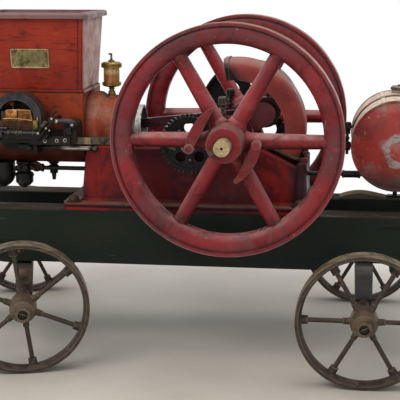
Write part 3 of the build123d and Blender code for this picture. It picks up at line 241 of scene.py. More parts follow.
def iron(name, codes, rust_share=0.5, gloss=0.5, metallic=0.6, extra=None):
    """Bare or blackened iron with brown rust blooms, and dark corners of oil and painted shade."""
    main, second, rust = codes.split()
    g = Graph(name)
    broad = g.noise(9, 5, 0.6, shift=(1, 4, 0))
    middle = g.noise(42, 8, 0.68, twist=0.4)
    bloom = g.times((middle, 0.64 - 0.22 * rust_share, 0.78), (broad, 0.3, 0.6))
    g.colour = g.mix((middle, 0.35, 0.7), main, second)
    g.coat(rust, bloom, 0.4 + 0.6 * rust_share)
    g.coat(second, g.edges(0.002), (middle, 0.35, 0.65), 0.5)
    if extra:
        extra(g)
    # Oil and painted shade darken the corners.
    g.coat("15110e", g.hollow(0.02), 0.6)
    g.bump((g.noise(120, 6, 0.65), 0.3, 0.0012), (bloom, 0.25, 0.0008))
    rough = g.plus((middle, 0.3, 0.75, gloss - 0.12, gloss + 0.2), g.times(bloom, 0.25))
    return g.finish(rough, g.times(g.rest(bloom), metallic), Specular_IOR_Level=0.25)


def wood(name, codes, far_shade=0.0):
    """Painted timber: dark sides with scratches, worn brown top with long grain and checks, painted shade on the far
    side and in the corners.
    """
    side, side_two, top, top_two = codes.split()
    g = Graph(name)
    grain = g.noise(38, 8, 0.7, stretch=(0.06, 1, 1), twist=0.3)
    fine = g.noise(150, 6, 0.7, stretch=(0.04, 1, 1))
    patch = g.noise(5, 5, 0.6, stretch=(0.6, 1, 1))
    cloud = g.noise(16, 7, 0.7, stretch=(0.35, 1, 1), shift=(6, 0, 2), twist=0.6)
    check = g.span(g.noise(30, 3, 0.5, stretch=(0.05, 1, 1), shift=(0, 5, 0)), 0.635, 0.66)
    x, y, z = g.here()
    up = g.facing()[2]
    g.colour = g.mix((patch, 0.3, 0.7), side, side_two)
    g.coat(top_two, (fine, 0.54, 0.72, 0, 0.5))
    g.coat("2e2920", (cloud, 0.56, 0.68, 0, 0.45))
    g.coat("0b0f0d", (cloud, 0.42, 0.3, 0, 0.6))
    painted = g.colour
    g.colour = g.mix((grain, 0.35, 0.65), top, top_two)
    g.coat("6f6350", (cloud, 0.53, 0.64, 0, 0.7))
    g.coat("1d1813", (cloud, 0.45, 0.33, 0, 0.7))
    # Painted shade: the bare wood on the far side is darker.
    g.coat("1a1511", (y, -0.1, 0.1, 0, far_shade))
    rubbed = g.times((up, 0.3, 0.8), (g.noise(7, 6, 0.65, stretch=(0.4, 1, 1)), 0.28, 0.5))
    edge = g.times(g.edges(0.006), (g.noise(26, 6, 0.7, stretch=(0.35, 1, 1)), 0.42, 0.6), 0.8)
    low = g.times((z, 0.262, 0.285, 0.5, 0), (grain, 0.45, 0.65))
    g.colour = g.mix(g.most(rubbed, edge, low), painted, g.colour)
    g.coat("14100c", check, 0.8)
    g.coat("6b6453", (g.noise(64, 4, 0.7, stretch=(0.07, 1, 1.4), shift=(2, 8, 1)), 0.69, 0.73, 0, 0.6))
    # Painted shade in the corners.
    g.coat("12110f", g.hollow(0.05), 0.6)
    g.bump((grain, 0.35, 0.0016), (fine, 0.25, 0.0008), (check, -0.8, 0.002))
    rough = g.plus((patch, 0.3, 0.7, 0.5, 0.72), (up, 0.6, 0.95, 0, 0.25))
    return g.finish(rough, Specular_IOR_Level=0.15)


def brass(name, codes, gloss=0.34):
    """Old brass or copper, stained dark in patches and corners, bright on its edges."""
    main, second, dark = codes.split()
    g = Graph(name)
    middle = g.noise(60, 7, 0.65)
    g.colour = g.mix((middle, 0.35, 0.65), main, second)
    g.coat(dark, (middle, 0.5, 0.7), (g.noise(16, 4, 0.55), 0.35, 0.6), 0.75)
    g.coat(dark, g.hollow(0.012), 0.8)
    g.coat(main, g.edges(0.0015), 0.5)
    g.bump((g.noise(240, 5, 0.6), 0.15, 0.0005))
    return g.finish(g.span(middle, 0.3, 0.7, gloss - 0.08, gloss + 0.2), 0.85)


def steel(name, codes, gloss=0.35, lines=(1, 1, 1)):
    """Bare steel with turning marks, stained in spots and corners."""
    main, second, stain = codes.split()
    g = Graph(name)
    middle = g.noise(70, 7, 0.65)
    turned = g.noise(320, 3, 0.5, stretch=lines)
    spot = g.times((middle, 0.52, 0.68), (g.noise(14, 3, 0.5), 0.4, 0.6))
    g.colour = g.mix((turned, 0.35, 0.65), main, second)
    g.coat(stain, spot, 0.8)
    g.coat(stain, g.hollow(0.012), 0.7)
    g.bump((turned, 0.2, 0.0004), (spot, 0.2, 0.0004))
    return g.finish(g.span(middle, 0.3, 0.7, gloss - 0.08, gloss + 0.22), 0.75)


def glass(name):
    """Sight glass full of amber oil, drawn as a solid so that the baked model keeps it."""
    g = Graph(name)
    middle = g.noise(50, 4, 0.6)
    g.colour = g.mix((g.here()[2], 0.8, 0.812), "a8641c", "d3ae66")
    g.coat("6a3a12", (middle, 0.45, 0.7, 0, 0.5))
    g.bump((middle, 0.05, 0.0005))
    return g.finish(0.08, Coat_Weight=0.6)


def crank_metal(name):
    """The bare shaft ends are tan steel with turning marks, the webs are painted dark red."""
    g = Graph(name)
    middle = g.noise(60, 7, 0.65)
    turned = g.noise(260, 3, 0.5, stretch=(1, 0.05, 1))
    along = g.raw("ABSOLUTE", g.here()[1])
    web = g.span(along, 0.0585, 0.0595, 1, 0)
    cloud = g.span(middle, 0.35, 0.65)
    g.colour = g.mix((turned, 0.35, 0.65), "c0aa82", "a48d66")
    g.coat("6b5438", (middle, 0.5, 0.68), (g.noise(14, 3, 0.5), 0.4, 0.6), 0.6)
    g.colour = g.mix((along, 0.19, 0.21), g.mix(cloud, "4a4038", "2e2723"), g.colour)
    g.coat(g.mix(cloud, "6f2226", "4a191b"), web)
    # Painted shade in the corners.
    g.coat("2c2018", g.hollow(0.012), 0.6)
    g.bump((turned, 0.2, 0.0004))
    return g.finish(g.span(middle, 0.3, 0.7, 0.34, 0.6), g.times(g.rest(web), 0.55))


def magnet_metal(name):
    """Blue black steel bars bent one round the other, with dark gaps between them and brown edges."""
    g = Graph(name)
    middle = g.noise(44, 8, 0.66)
    x, y, z = g.here()
    aside = g.raw("ADD", x, 0.452)
    above = g.raw("MAXIMUM", g.raw("SUBTRACT", z, 0.693))
    reach = g.raw("SQRT", g.raw("ADD", g.raw("MULTIPLY", aside, aside), g.raw("MULTIPLY", above, above)))
    phase = g.raw("FRACT", g.raw("MULTIPLY", g.raw("SUBTRACT", reach, 0.053), 137.0))
    depth = g.raw("FRACT", g.raw("MULTIPLY", g.raw("ADD", y, 0.216), 50.0))
    front = g.span(g.facing()[1], -0.8, -0.5, 1, 0)
    front_gap = g.times(g.most((phase, 0, 0.12, 1, 0), (phase, 0.88, 1)), front)
    side_gap = g.times(g.most((depth, 0, 0.1, 1, 0), (depth, 0.9, 1)), g.rest(front))
    gap = g.most(front_gap, side_gap)
    g.colour = g.mix((middle, 0.32, 0.7), "1b1d22", "3a3e45")
    g.coat("46362a", (g.noise(17, 6, 0.6), 0.5, 0.66), 0.7)
    g.coat("66594c", g.band(phase, 0.12, 0.2, 0.3, 0.42), front, (middle, 0.35, 0.6, 0.1, 0.55))
    g.coat("43372d", (reach, 0.0744, 0.0749), (middle, 0.3, 0.6, 0.35, 0.9))
    g.coat("0c0b0b", gap, 0.9)
    g.coat("75624e", g.edges(0.003), (middle, 0.3, 0.6), 0.7)
    # Painted shade in the corners.
    g.coat("100e0c", g.hollow(0.025), 0.7)
    g.bump((gap, -0.7, 0.0015), (g.noise(120, 6, 0.65), 0.25, 0.001))
    return g.finish(g.span(middle, 0.3, 0.75, 0.34, 0.6), 0.35, Specular_IOR_Level=0.3)


def tank_paint(name):
    """Faded red domes with a torn grey ring and primer patches; the barrel is worn to dull beige metal."""
    g = Graph(name)
    middle = g.noise(34, 8, 0.68, twist=0.5)
    x, y, z = g.here()
    torn = g.ring(0.642, 0.611, 0.85, 0.05)
    g.colour = g.mix((g.noise(7, 5, 0.6, shift=(0, 0, 4)), 0.35, 0.65), "a83a33", "8a332d")
    g.coat("a39a93", (g.noise(13, 6, 0.6, shift=(4, 0, 1)), 0.5, 0.62), (middle, 0.3, 0.55), 0.35)
    g.coat("a8a09b", g.band(torn, 0.0255, 0.029, 0.0385, 0.044), (middle, 0.36, 0.5), 0.9)
    g.coat("b08c80", (g.noise(46, 8, 0.75, shift=(0, 3, 0)), 0.6, 0.66, 0, 0.75))
    g.coat("6e2c2a", (g.noise(22, 8, 0.72, shift=(1, 1, 7), twist=0.6), 0.52, 0.62, 0, 0.65))
    g.coat("4c3b3a", (z, 0.575, 0.505), (middle, 0.3, 0.55, 0.5, 1))
    g.coat("a08d80", (z, 0.715, 0.745), (middle, 0.35, 0.6, 0.2, 0.9))
    dome = g.colour
    g.colour = g.mix((middle, 0.35, 0.65), "dccab4", "b99c8b")
    g.coat("a9786b", (g.noise(7, 7, 0.65, shift=(2, 2, 2)), 0.5, 0.66, 0, 0.6))
    g.coat(dome, (g.raw("ABSOLUTE", y), 0.1465, 0.1485))
    # Painted shade in the corners.
    g.coat("4a2a22", g.hollow(0.03), 0.6)
    g.coat("4b3a33", (g.noise(80, 6, 0.7), 0.62, 0.7), 0.6)
    g.bump((g.noise(12, 3, 0.5), 0.25, 0.004), (middle, 0.1, 0.001))
    return g.finish(g.span(middle, 0.3, 0.7, 0.42, 0.65), Specular_IOR_Level=0.25)


def rim_wear_and_spoke_light(g):
    """The flywheels' outer lip is rubbed to bare tan metal and the face is scuffed grey; the spokes carry a painted
    pale highlight on their upper faces and painted shade underneath.
    """
    away = g.vector("LENGTH", g.from_line(CRANK * MM))
    level = g.facing()[2]
    cloud = g.noise(15, 8, 0.68, shift=(0, 3, 3), twist=0.7)
    stain = g.noise(9, 8, 0.72, shift=(7, 3, 1), twist=1.0)
    arm = g.band(away, 0.052, 0.07, 0.262, 0.285)
    g.coat("5f3f42", (away, 0.255, 0.285, 0, 0.62), (g.noise(11, 7, 0.62, shift=(2, 2, 9)), 0.38, 0.66))
    # Painted highlight: pale pink on the spokes' upward faces.
    g.coat("b27d79", arm, (level, 0.1, 0.7), (cloud, 0.36, 0.56, 0.3, 0.9))
    g.coat("45191d", (stain, 0.55, 0.64, 0, 0.6))
    g.coat("a4444a", (stain, 0.42, 0.34, 0, 0.55))
    # Painted shade on the spokes' undersides.
    g.coat("3f1216", arm, (level, -0.2, -0.8), 0.65)
    g.coat("35191c", g.band(away, 0.225, 0.262, 0.262, 0.285), (cloud, 0.48, 0.6, 0, 0.8))
    g.coat("75534b", g.band(away, 0.0455, 0.048, 0.051, 0.056), (cloud, 0.3, 0.55, 0.4, 0.9))
    g.coat("b08a80", (g.noise(60, 6, 0.7, shift=(5, 5, 0)), 0.64, 0.7, 0, 0.7))
    g.coat("3c1c1c", g.band(away, 0.307, 0.312, 0.3155, 0.3185), (cloud, 0.35, 0.6, 0.15, 0.6))
    g.coat("9c7363", (away, 0.3215, 0.3245), (g.noise(16, 6, 0.6), 0.32, 0.6, 0.25, 0.9))


def weight_boss_highlight(g):
    """The bosses at the weights' pins carry a painted pale highlight ring, and their middles hold dark grease."""
    for x, z in ((0.068, 0.632), (0.254, 0.646)):
        away = g.ring(x, z, 1, 0.006)
        # Painted highlight: a pale ring round each pin.
        g.coat("b9807a", (away, 0.015, 0.0125), 0.8)
        g.coat("4a2222", (away, 0.0065, 0.0045), 0.85)


def jacket_wear_and_shade(g):
    """The casting turns black towards its underside: painted shade beneath it, with soot and oil run down from the
    valves.
    """
    x, y, z = g.here()
    cloud = g.noise(13, 7, 0.65, stretch=(1, 1, 0.6), shift=(1, 0, 3))
    run = g.noise(34, 7, 0.7, stretch=(0.5, 1, 0.35), shift=(2, 2, 0), twist=0.5)
    # Painted shade with soot: darker towards the underside.
    g.coat("2a0f0d", (z, 0.655, 0.585), (cloud, 0.2, 0.55, 0.6, 1), 0.93)
    g.coat("5a2a1f", (g.noise(11, 7, 0.7, shift=(4, 4, 1), twist=0.8), 0.52, 0.64), 0.6)
    g.coat("a0705c", (x, -0.279, -0.27), (run, 0.42, 0.58, 0.15, 0.75))
    g.coat("32150f", (g.noise(48, 7, 0.7), 0.6, 0.68, 0, 0.75))


def hopper_wear_and_sheen(g):
    """Lines along the grain, a streak by the right corner, a dark foot, a painted pinkish sheen on the right end and a
    painted grey highlight on the lip.
    """
    x, y, z = g.here()
    across, ahead = g.facing()[0:2]
    line = g.noise(20, 7, 0.7, stretch=(0.5, 1, 3.2), twist=1.2)
    g.coat("4a1813", (line, 0.55, 0.64, 0, 0.7))
    g.coat("b04a26", (line, 0.42, 0.34, 0, 0.55))
    lean = g.raw("MULTIPLY", g.raw("SUBTRACT", z, 0.758), 0.05)
    aside = g.raw("ABSOLUTE", g.raw("SUBTRACT", g.raw("ADD", x, 0.293), lean))
    g.coat("451713", (aside, 0.0032, 0.0012), (g.raw("ABSOLUTE", ahead), 0.6, 0.9),
           (g.noise(14, 7, 0.7, stretch=(1, 1, 0.4)), 0.3, 0.5, 0.3, 0.8))
    g.coat("3f1711", (g.noise(36, 6, 0.7, stretch=(0.12, 1, 1.6), shift=(3, 0, 8)), 0.6, 0.66, 0, 0.7))
    g.coat("8a3019", (z, 0.7665, 0.7655), 0.8)
    g.coat("1c0b08", (z, 0.7622, 0.7605), 0.9)
    # Painted sheen: pale pinkish grey on the faces turned to the right.
    g.coat("c39a8d", (across, 0.6, 0.95), (g.noise(16, 8, 0.75, stretch=(1, 1, 0.6)), 0.3, 0.56, 0.5, 1))
    # Painted highlight: grey along the top lip.
    g.coat("7d6463", (z, 0.973, 0.979), (g.noise(20, 6, 0.65), 0.25, 0.5, 0.4, 0.95))


def guard_inside(g):
    """The hood's inside is black with painted shade, painted shading darkens the face by its left mouth, and the mouth
    has a dark rubbed rim.
    """
    x, y, z = g.here()
    flat = g.from_line(CRANK * MM)
    inner = g.span(g.vector("DOT_PRODUCT", flat, g.normal()), -0.02, -0.002, 1, 0)
    lip = g.times((g.vector("LENGTH", flat), 0.2083, 0.2088), (g.parts(flat)[0], -0.03, -0.018, 1, 0))
    slant = g.raw("ADD", g.raw("MULTIPLY", x, 0.804), g.raw("MULTIPLY", z, 0.594))
    left = g.span(x, 0.25, 0.2)
    # Painted shading: purple grey towards the mouth's slant.
    g.coat("3a2226", (slant, 0.65, 0.618), left, 0.75)
    # Painted shade: black on the inner faces and over the slant by the mouth, and a dark rim on the lip.
    g.coat("0f0d0d", g.most(inner, lip, g.times((slant, 0.619, 0.6165), left)), 0.96)


def base_inside(g):
    """Black in the crank pit, bright lobes at both ends, painted shade towards the rounded right end, and along the
    flange's top a tan edge of rubbed metal with a painted highlight, over a band of painted shade.
    """
    x, y, z = g.here()
    cloud = g.noise(13, 8, 0.7, stretch=(1, 1, 0.7), twist=0.6)
    pit = g.times((g.raw("ABSOLUTE", y), 0.0815, 0.0825, 1, 0), (x, 0.3655, 0.3665, 1, 0))
    ends = g.times(g.most((x, -0.15, -0.215, 0, 0.75), g.band(x, 0.235, 0.27, 0.325, 0.352)), g.rest(pit))
    g.coat("120d0c", pit, 0.93)
    g.coat("3b181e", g.rest(ends), 0.6)
    g.coat("992a1f", ends, (cloud, 0.54, 0.4, 0.05, 0.75))
    g.coat("3a1820", (cloud, 0.5, 0.62), 0.75)
    # Painted shade: darker towards the rounded right end.
    g.coat("33181f", (x, 0.33, 0.362, 0, 0.8))
    # Rubbed metal with a painted highlight along the flange's top edge.
    g.coat("7b6554", g.band(z, 0.4375, 0.4395, 0.4412, 0.4425), (cloud, 0.36, 0.56, 0.35, 0.85))
    # Painted shade in the band below the flange's top edge.
    g.coat("40313a", g.band(z, 0.429, 0.4305, 0.4375, 0.4385), (cloud, 0.3, 0.5, 0.35, 0.8))


def far_cup(g):
    """The cup on the far side stands in the hood's shade and is caked with black grease."""
    g.coat("14110f", (g.here()[1], -0.02, 0.02, 0, 0.85))


def gear_wear_and_light(g):
    """Rusty teeth, browner low down under a painted light, a painted highlight line along the rim and a blue-black
    oily web.
    """
    away = g.ring(CAM.x * MM, CAM.z * MM)
    # Rust on the teeth, stronger low down where a painted light falls on the lower rim.
    g.coat("54402f", (away, 0.0775, 0.0815), (g.noise(45, 6, 0.7), 0.4, 0.6, 0.1, 0.7),
           (g.here()[2], 0.64, 0.6, 0.25, 1))
    # Painted highlight: a tan line along the rim.
    g.coat("4d3f36", g.band(away, 0.0655, 0.0665, 0.068, 0.069), (g.noise(22, 5, 0.7), 0.35, 0.6, 0.2, 0.8))
    g.coat("12181e", (away, 0.064, 0.06), 0.5)


def rod_paint_and_highlight(g):
    """Old dark red paint under grease, with a painted pale highlight along the upper faces."""
    cloud = g.noise(26, 7, 0.7, twist=0.6)
    g.coat("51262a", (cloud, 0.45, 0.62, 0, 0.8))
    # Painted highlight on the upward faces.
    g.coat("77605c", (g.facing()[2], 0.35, 0.8), (cloud, 0.3, 0.5, 0.3, 0.8))


def strap_wear(g):
    """The strap is as pale as the barrel under it, and black at its clamp."""
    g.coat("8d7a69", (g.here()[0], 0.52, 0.528), (g.noise(30, 6, 0.65), 0.3, 0.55, 0.45, 0.9))


def bar_stain(g):
    """Black beside the magneto, olive brown towards the cam, with a rubbed tan patch."""
    x = g.here()[0]
    cloud = g.noise(30, 7, 0.7, twist=0.5)
    g.coat("191714", (x, -0.318, -0.335, 0, 0.9))
    g.coat("96805a", g.band(x, -0.262, -0.252, -0.244, -0.236), (cloud, 0.35, 0.55, 0.3, 0.9))
    g.coat("2b2620", (cloud, 0.55, 0.66, 0, 0.75))


def rod_shine(g):
    """Painted shade where the rod runs under the magneto, rubbed bright towards its end, with a black ball."""
    bright = g.band(g.here()[0], -0.345, -0.315, -0.25, -0.246)
    g.coat("bdbab2", bright, (g.noise(40, 6, 0.7), 0.3, 0.55, 0.4, 0.95))
    # Dark outside the bright part: painted shade under the magneto, and the black ball end.
    g.coat("1a1816", g.rest(bright), 0.8)


def wheel_iron(name, hub, turn):
    """Rusty iron whose tread is rubbed lighter; the axle line goes through the hub."""
    axis = Vector((math.sin(turn), -math.cos(turn), 0.0))
    face = WHEEL_RADIUS * MM

    def tread(g):
        away = g.vector("LENGTH", g.from_line(hub * MM, axis))
        cloud = g.noise(26, 8, 0.7, twist=0.5)
        g.coat(g.mix((cloud, 0.4, 0.62), "5c4f40", "83745a"), (away, face - 0.0015, face - 0.0002),
               (cloud, 0.3, 0.6, 0.35, 0.95))
        g.coat("6f5a43", (away, 0.04, 0.05, 0.6, 0), (cloud, 0.35, 0.55, 0.3, 1))
        g.coat("786954", (cloud, 0.56, 0.7, 0, 0.45))
        g.coat("241e1a", (cloud, 0.42, 0.3, 0, 0.5))
        # Worn edges with a painted tan highlight.
        g.coat("9a8a76", g.edges(0.0035), (g.noise(55, 6, 0.7), 0.35, 0.55), 0.8)

    return iron(name, "352d27 55493f 5e4332", 0.6, 0.5, 0.15, tread)


def dress(node, material):
    data = NODES[node].data
    if not data.materials:
        data.materials.append(material)
    for slot in NODES[node].material_slots:
        slot.link = "OBJECT"
        slot.material = material


# The nodes each material dresses, its maker and the maker's values
FINISHES = {
    "flywheel_red": ("near_flywheel far_flywheel",
                     paint, "942a2d 721d24 6f4a4c 2c1013 a8302f", 0.9, 0.36, 0.9, 0.005, rim_wear_and_spoke_light, 0.25),
    "weight_red": ("governor_weight_left governor_weight_right",
                   paint, "8e2a2a 6a2022 8a6258 2c1013 a03531", 1, 0.4, 0.9, 0.004, weight_boss_highlight, 0.25),
    "cylinder_red": ("cylinder cylinder_head",
                     paint, "9f4022 86301b 5b3325 240f0b b0512c", 0.85, 0.38, 0.9, 0.004, jacket_wear_and_shade, 0.16),
    "hopper_red": ("hopper",
                   paint, "a53520 86251a 5a241c 2a100d ad3f25", 0.7, 0.36, 0.5, 0.004, hopper_wear_and_sheen, 0.2),
    "base_red": ("engine_base near_bearing_cap far_bearing_cap",
                 paint, "8c1c1b 621317 4a2a2d 1d0a0c a2241c", 0.7, 0.38, 0.6, 0.004, base_inside, 0.16),
    "guard_red": ("crank_guard",
                  paint, "a0433b 7e2f2c 7d645b 2c1715 b04c42", 0.85, 0.36, 0.6, 0.004, guard_inside, 0.22, "8d7166"),
    "bolt_red": ("", paint, "7a2626 5f1f20 5c444b 241313", 0.5, 0.42, 0.4, 0.002),
    "tank_red": ("fuel_tank", tank_paint),
    "beam_green": ("near_beam far_beam", wood, "171e1b 21281f 453a2e 2a2119", 0.45),
    "timber": ("front_cross_timber", wood, "231f1b 1b1814 453b31 2d251d"),
    "board_wood": ("beam_board", wood, "6a6048 4f4738 8c8062 6e6349"),
    "bolster_grey": ("rear_bolster", wood, "5b5955 484745 5a5853 3a3835"),
    "bolster_brown": ("front_bolster", wood, "3c2f27 2b221c 5a5043 3d342a"),
    "black_iron": ("muffler mixer drain_cock fuel_pipe tank_legs turntable_plate rocker_arm",
                   iron, "181716 2b2826 412c20", 0.35, 0.45, 0.2),
    "axle_steel": ("front_axle rear_axle king_bolt", iron, "2b2622 443c35 4a3325", 0.5, 0.55, 0.15),
    "dark_gear": ("crank_pinion exhaust_cam cam_stud", iron, "262321 45403b 4d3424", 0.25, 0.38, 0.6),
    "linkage_steel": ("oiler_lever", iron, "4b4a41 6e6b5c 57432e", 0.4, 0.4, 0.7),
    "pulley_iron": ("belt_pulley", iron, "1b1d1e 2b2d2d 3d3128", 0.3, 0.45, 0.2),
    "housing_iron": ("magneto_housing", iron, "33271c 4d3c2a 2a1b12", 0.5, 0.45, 0.25),
    "bolt_rust": ("", iron, "3b3029 5c4c40 6b4129", 0.6, 0.55, 0.35),
    "bolt_black": ("", iron, "141110 2c2520 4a3221", 0.45, 0.5, 0.12),
    "oil_and_shade_black": ("", iron, "0d0d0d 191715 241a14", 0.2, 0.5, 0.1),
    "cup_steel": ("grease_cups", iron, "4c453b 6b6357 43301f", 0.45, 0.45, 0.4, far_cup),
    "gear_black": ("cam_gear", iron, "101213 1d1f20 33261b", 0.25, 0.4, 0.35, gear_wear_and_light),
    "rod_red": ("connecting_rod", iron, "2e181b 40202a 3a2620", 0.35, 0.4, 0.4, rod_paint_and_highlight),
    "bracket_iron": ("magneto_bracket", iron, "15100d 251c16 3f2a1c", 0.5, 0.7, 0),
    "strap_iron": ("tank_strap", iron, "231a16 3b2e26 4e3528", 0.4, 0.5, 0.15, strap_wear),
    "rod_grey": ("", iron, "2e2e31 504f53 3c2e25", 0.4, 0.45, 0.3),
    "rust_brown": ("", iron, "35231b 523929 6a4129", 0.6, 0.55, 0.15),
    "cap_rust": ("", iron, "4b3a31 6d594b 75492f", 0.6, 0.55, 0.15),
    "bar_iron": ("push_rod", iron, "474537 605a47 54422c", 0.45, 0.45, 0.4, bar_stain),
    "rod_iron": ("latch_rod", iron, "55534e 77746c 4a3c30", 0.3, 0.36, 0.6, rod_shine),
    "crank_steel": ("crankshaft", crank_metal),
    "magnet_iron": ("magneto_magnets", magnet_metal),
    "key_steel": ("crankpin flywheel_keys exhaust_valve", steel, "5f5950 433e37 2a211a", 0.45),
    "fitting_steel": ("", steel, "7b776d 56534c 2f2822", 0.38),
    # Pale steel that stands for glints: a painted highlight.
    "glint_steel": ("", steel, "c9c1aa 9a9280 4a4034", 0.4),
    "piston_iron": ("piston wrist_pin", steel, "a9a8a4 8b8a86 5c544b", 0.36, (1, 0.1, 0.1)),
    "copper_coil": ("", brass, "a9713f 7f5029 2c1a10", 0.4),
    "copper_dark": ("", brass, "6d4526 4a2e1a 1c120b", 0.45),
    "tape_tan": ("", brass, "c9a679 9c7446 5a3a20", 0.5),
    "brass_dull": ("", brass, "8a7033 66511f 2b210f", 0.42),
    "brass_old": ("oiler", brass, "a58a4a 7c6731 2f2510"),
    "border_tan": ("", brass, "d0ac82 b08a5e 7a5a38", 0.45),
    "plate_brass": ("name_plate", brass, "857a52 655c3c 3a3424", 0.45),
    "amber_glass": ("oiler_glass", glass),
}
MATERIALS = {}
for name, (members, make, *values) in FINISHES.items():
    MATERIALS[name] = make(name, *values)
    for member in members.split():
        dress(member, MATERIALS[name])

# Each wheel's hub, the turn of its axle, and the turns of its split pin and of its spokes
ALONG, ASIDE = HALF_TRACK * math.sin(STEER), HALF_TRACK * math.cos(STEER)
WHEELS = {
    "near_rear_wheel": (Vector((REAR_X, -HALF_TRACK, WHEEL_RADIUS)), 0, 0.5, 0),
    "far_rear_wheel": (Vector((REAR_X, HALF_TRACK, WHEEL_RADIUS)), 0, 1.2, 0),
    "near_front_wheel": (Vector((FRONT_X + ALONG, -ASIDE, WHEEL_RADIUS)), STEER, -0.35, math.radians(22)),
    "far_front_wheel": (Vector((FRONT_X - ALONG, ASIDE, WHEEL_RADIUS)), STEER, 0.9, math.radians(5)),
}
for wheel, (hub, turn, pin_turn, spoke_turn) in WHEELS.items():
    MATERIALS[wheel + "_iron"] = wheel_iron(wheel + "_iron", hub, turn)
    dress(wheel, MATERIALS[wheel + "_iron"])

NEAR, FAR = (0, -1, 0), (0, 1, 0)
UP, DOWN = (0, 0, 1), (0, 0, -1)
LEFT, RIGHT = (-1, 0, 0), (1, 0, 0)


def around(side, other, turn):
    return side * math.cos(turn) + other * math.sin(turn)


def hoop(centre, radius, step, side=RIGHT, other=FAR):
    """Points of a closed circle, one every step degrees."""
    return [Vector(centre) + around(Vector(side), Vector(other), math.radians(turn)) * radius
            for turn in range(0, 361, step)]


def lean(angle):
    return Matrix.Rotation(angle, 3, "Y")


class Shape:
    """Collects lathed, swept and bevelled forms in millimetres, one piece after the other."""

    def __init__(self):
        self.bm = bmesh.new()

    def frame(self, axis, spin=0.0):
        axis = Vector(axis).normalized()
        side = axis.orthogonal().normalized()
        side = Matrix.Rotation(spin, 3, axis) @ side
        return side, axis.cross(side), axis

    def ring(self, centre, side, other, reaches):
        """A vertex at each reach round the centre, or a single one where the reach is zero."""
        if not reaches[0]:
            return [self.bm.verts.new(centre)]
        return [self.bm.verts.new(centre + around(side, other, 2 * math.pi * i / len(reaches)) * reach)
                for i, reach in enumerate(reaches)]

    def skin(self, rings, capped=False):
        """Joins each ring to the next one, and closes both ends if asked."""
        steps = max(len(ring) for ring in rings)
        for a, b in zip(rings, rings[1:]):
            for i in range(steps):
                j = (i + 1) % steps
                quad = [a[i % len(a)], a[j % len(a)], b[j % len(b)], b[i % len(b)]]
                quad = [v for k, v in enumerate(quad) if v not in quad[:k]]
                if len(quad) > 2:
                    self.bm.faces.new(quad)
        if capped:
            self.bm.faces.new(rings[-1])
            self.bm.faces.new(list(reversed(rings[0])))

    def lathe(self, profile, at, axis=UP, steps=28):
        """profile is (radius, height along the axis) from one end to the other."""
        side, other, up = self.frame(axis)
        self.skin([self.ring(Vector(at) + up * height, side, other, [radius] * steps) for radius, height in profile])

    def rivet(self, at, axis, foot, crown, level, top, steps=12):
        self.lathe([(foot, 0), (crown, level), (0, top)], at, axis, steps)

    def collar(self, at, axis, inner, outer, lip, length, steps=20):
        self.lathe([(inner, 0), (outer, lip), (outer, length - lip), (inner, length)], at, axis, steps)

    def hexagon(self, at, axis, flats, height, spin=0.0, washer=0.0):
        """A nut or bolt head with a chamfered crown, on a round washer."""
        side, other, up = self.frame(axis, spin)
        at = Vector(at)
        if washer:
            self.lathe([(0, 0), (flats * 0.78, 0), (flats * 0.8, washer * 0.5), (flats * 0.76, washer), (0, washer)],
                       at, axis)
            at = at + up * washer
        corner = flats / math.cos(math.pi / 6) / 2
        rings = []
        for share, level, squeeze in ((1, 0, 1), (1, 0.72, 1), (0.93, 0.88, 0.93 * 1.04), (0.8, 1, 0.8 * 1.04)):
            reaches = [corner * share, min(corner * share, flats / 2 * squeeze)] * 6
            rings.append(self.ring(at + up * height * level, side, other, reaches))
        self.skin(rings, True)

    def stud(self, at, axis, flats, height, stick, spin=0.0, washer=0.0):
        """A nut with the rounded end of its stud standing out."""
        self.hexagon(at, axis, flats, height, spin, washer)
        base = Vector(at) + Vector(axis).normalized() * (height + washer)
        r = flats * 0.27
        self.lathe([(r, 0), (r, stick * 0.75), (r * 0.6, stick), (0, stick)], base, axis, 14)

    def rod(self, points, radius, steps=12, smooth=True):
        """A round rod through the points, with closed ends; its radius may be a function of the way along."""
        path = [Vector(p) for p in points]
        if smooth and len(path) > 2:
            fine = []
            ends = [path[0] * 2 - path[1]] + path + [path[-1] * 2 - path[-2]]
            for a, b, c, d in zip(ends, ends[1:], ends[2:], ends[3:]):
                for t in [k / 6 for k in range(6)]:
                    bend = (2 * a - 5 * b + 4 * c - d) * t * t + (3 * b - a - 3 * c + d) * t ** 3
                    fine.append(0.5 * ((2 * b) + (c - a) * t + bend))
            path = fine + path[-1:]
        side = (path[1] - path[0]).orthogonal().normalized()
        rings = []
        last = len(path) - 1
        for i, point in enumerate(path):
            ahead = (path[min(i + 1, last)] - path[max(i - 1, 0)]).normalized()
            side = (side - ahead * side.dot(ahead)).normalized()
            size = radius(i / last) if callable(radius) else radius
            rings.append(self.ring(point, side, ahead.cross(side), [size] * steps))
        self.skin(rings, True)

    def knurl(self, centre, radius, low, high, step, wire, steps):
        """Upright ribs round a cap."""
        for x, y, z in hoop(centre, radius, step)[:-1]:
            self.rod([(x, y, low), (x, y, high)], wire, steps)

    def spring(self, start, end, radius, wire, turns):
        start, end = Vector(start), Vector(end)
        side, other, up = self.frame(end - start)
        count = turns * 14
        self.rod([start + (end - start) * i / count + around(side, other, 2 * math.pi * turns * i / count) * radius
                  for i in range(count + 1)], wire, 7, False)

    def block(self, centre, size, bevel=1.0, turn=None):
        """A box with rounded edges."""
        made = bmesh.ops.create_cube(self.bm, size=1.0)["verts"]
        spin = turn.to_4x4() if turn else Matrix.Identity(4)
        place = Matrix.Translation(Vector(centre)) @ spin @ Matrix.Diagonal((*size, 1.0))
        bmesh.ops.transform(self.bm, matrix=place, verts=made)
        rims = list({edge for vert in made for edge in vert.link_edges})
        bmesh.ops.bevel(self.bm, geom=rims, offset=bevel, segments=2, profile=0.6, affect="EDGES")

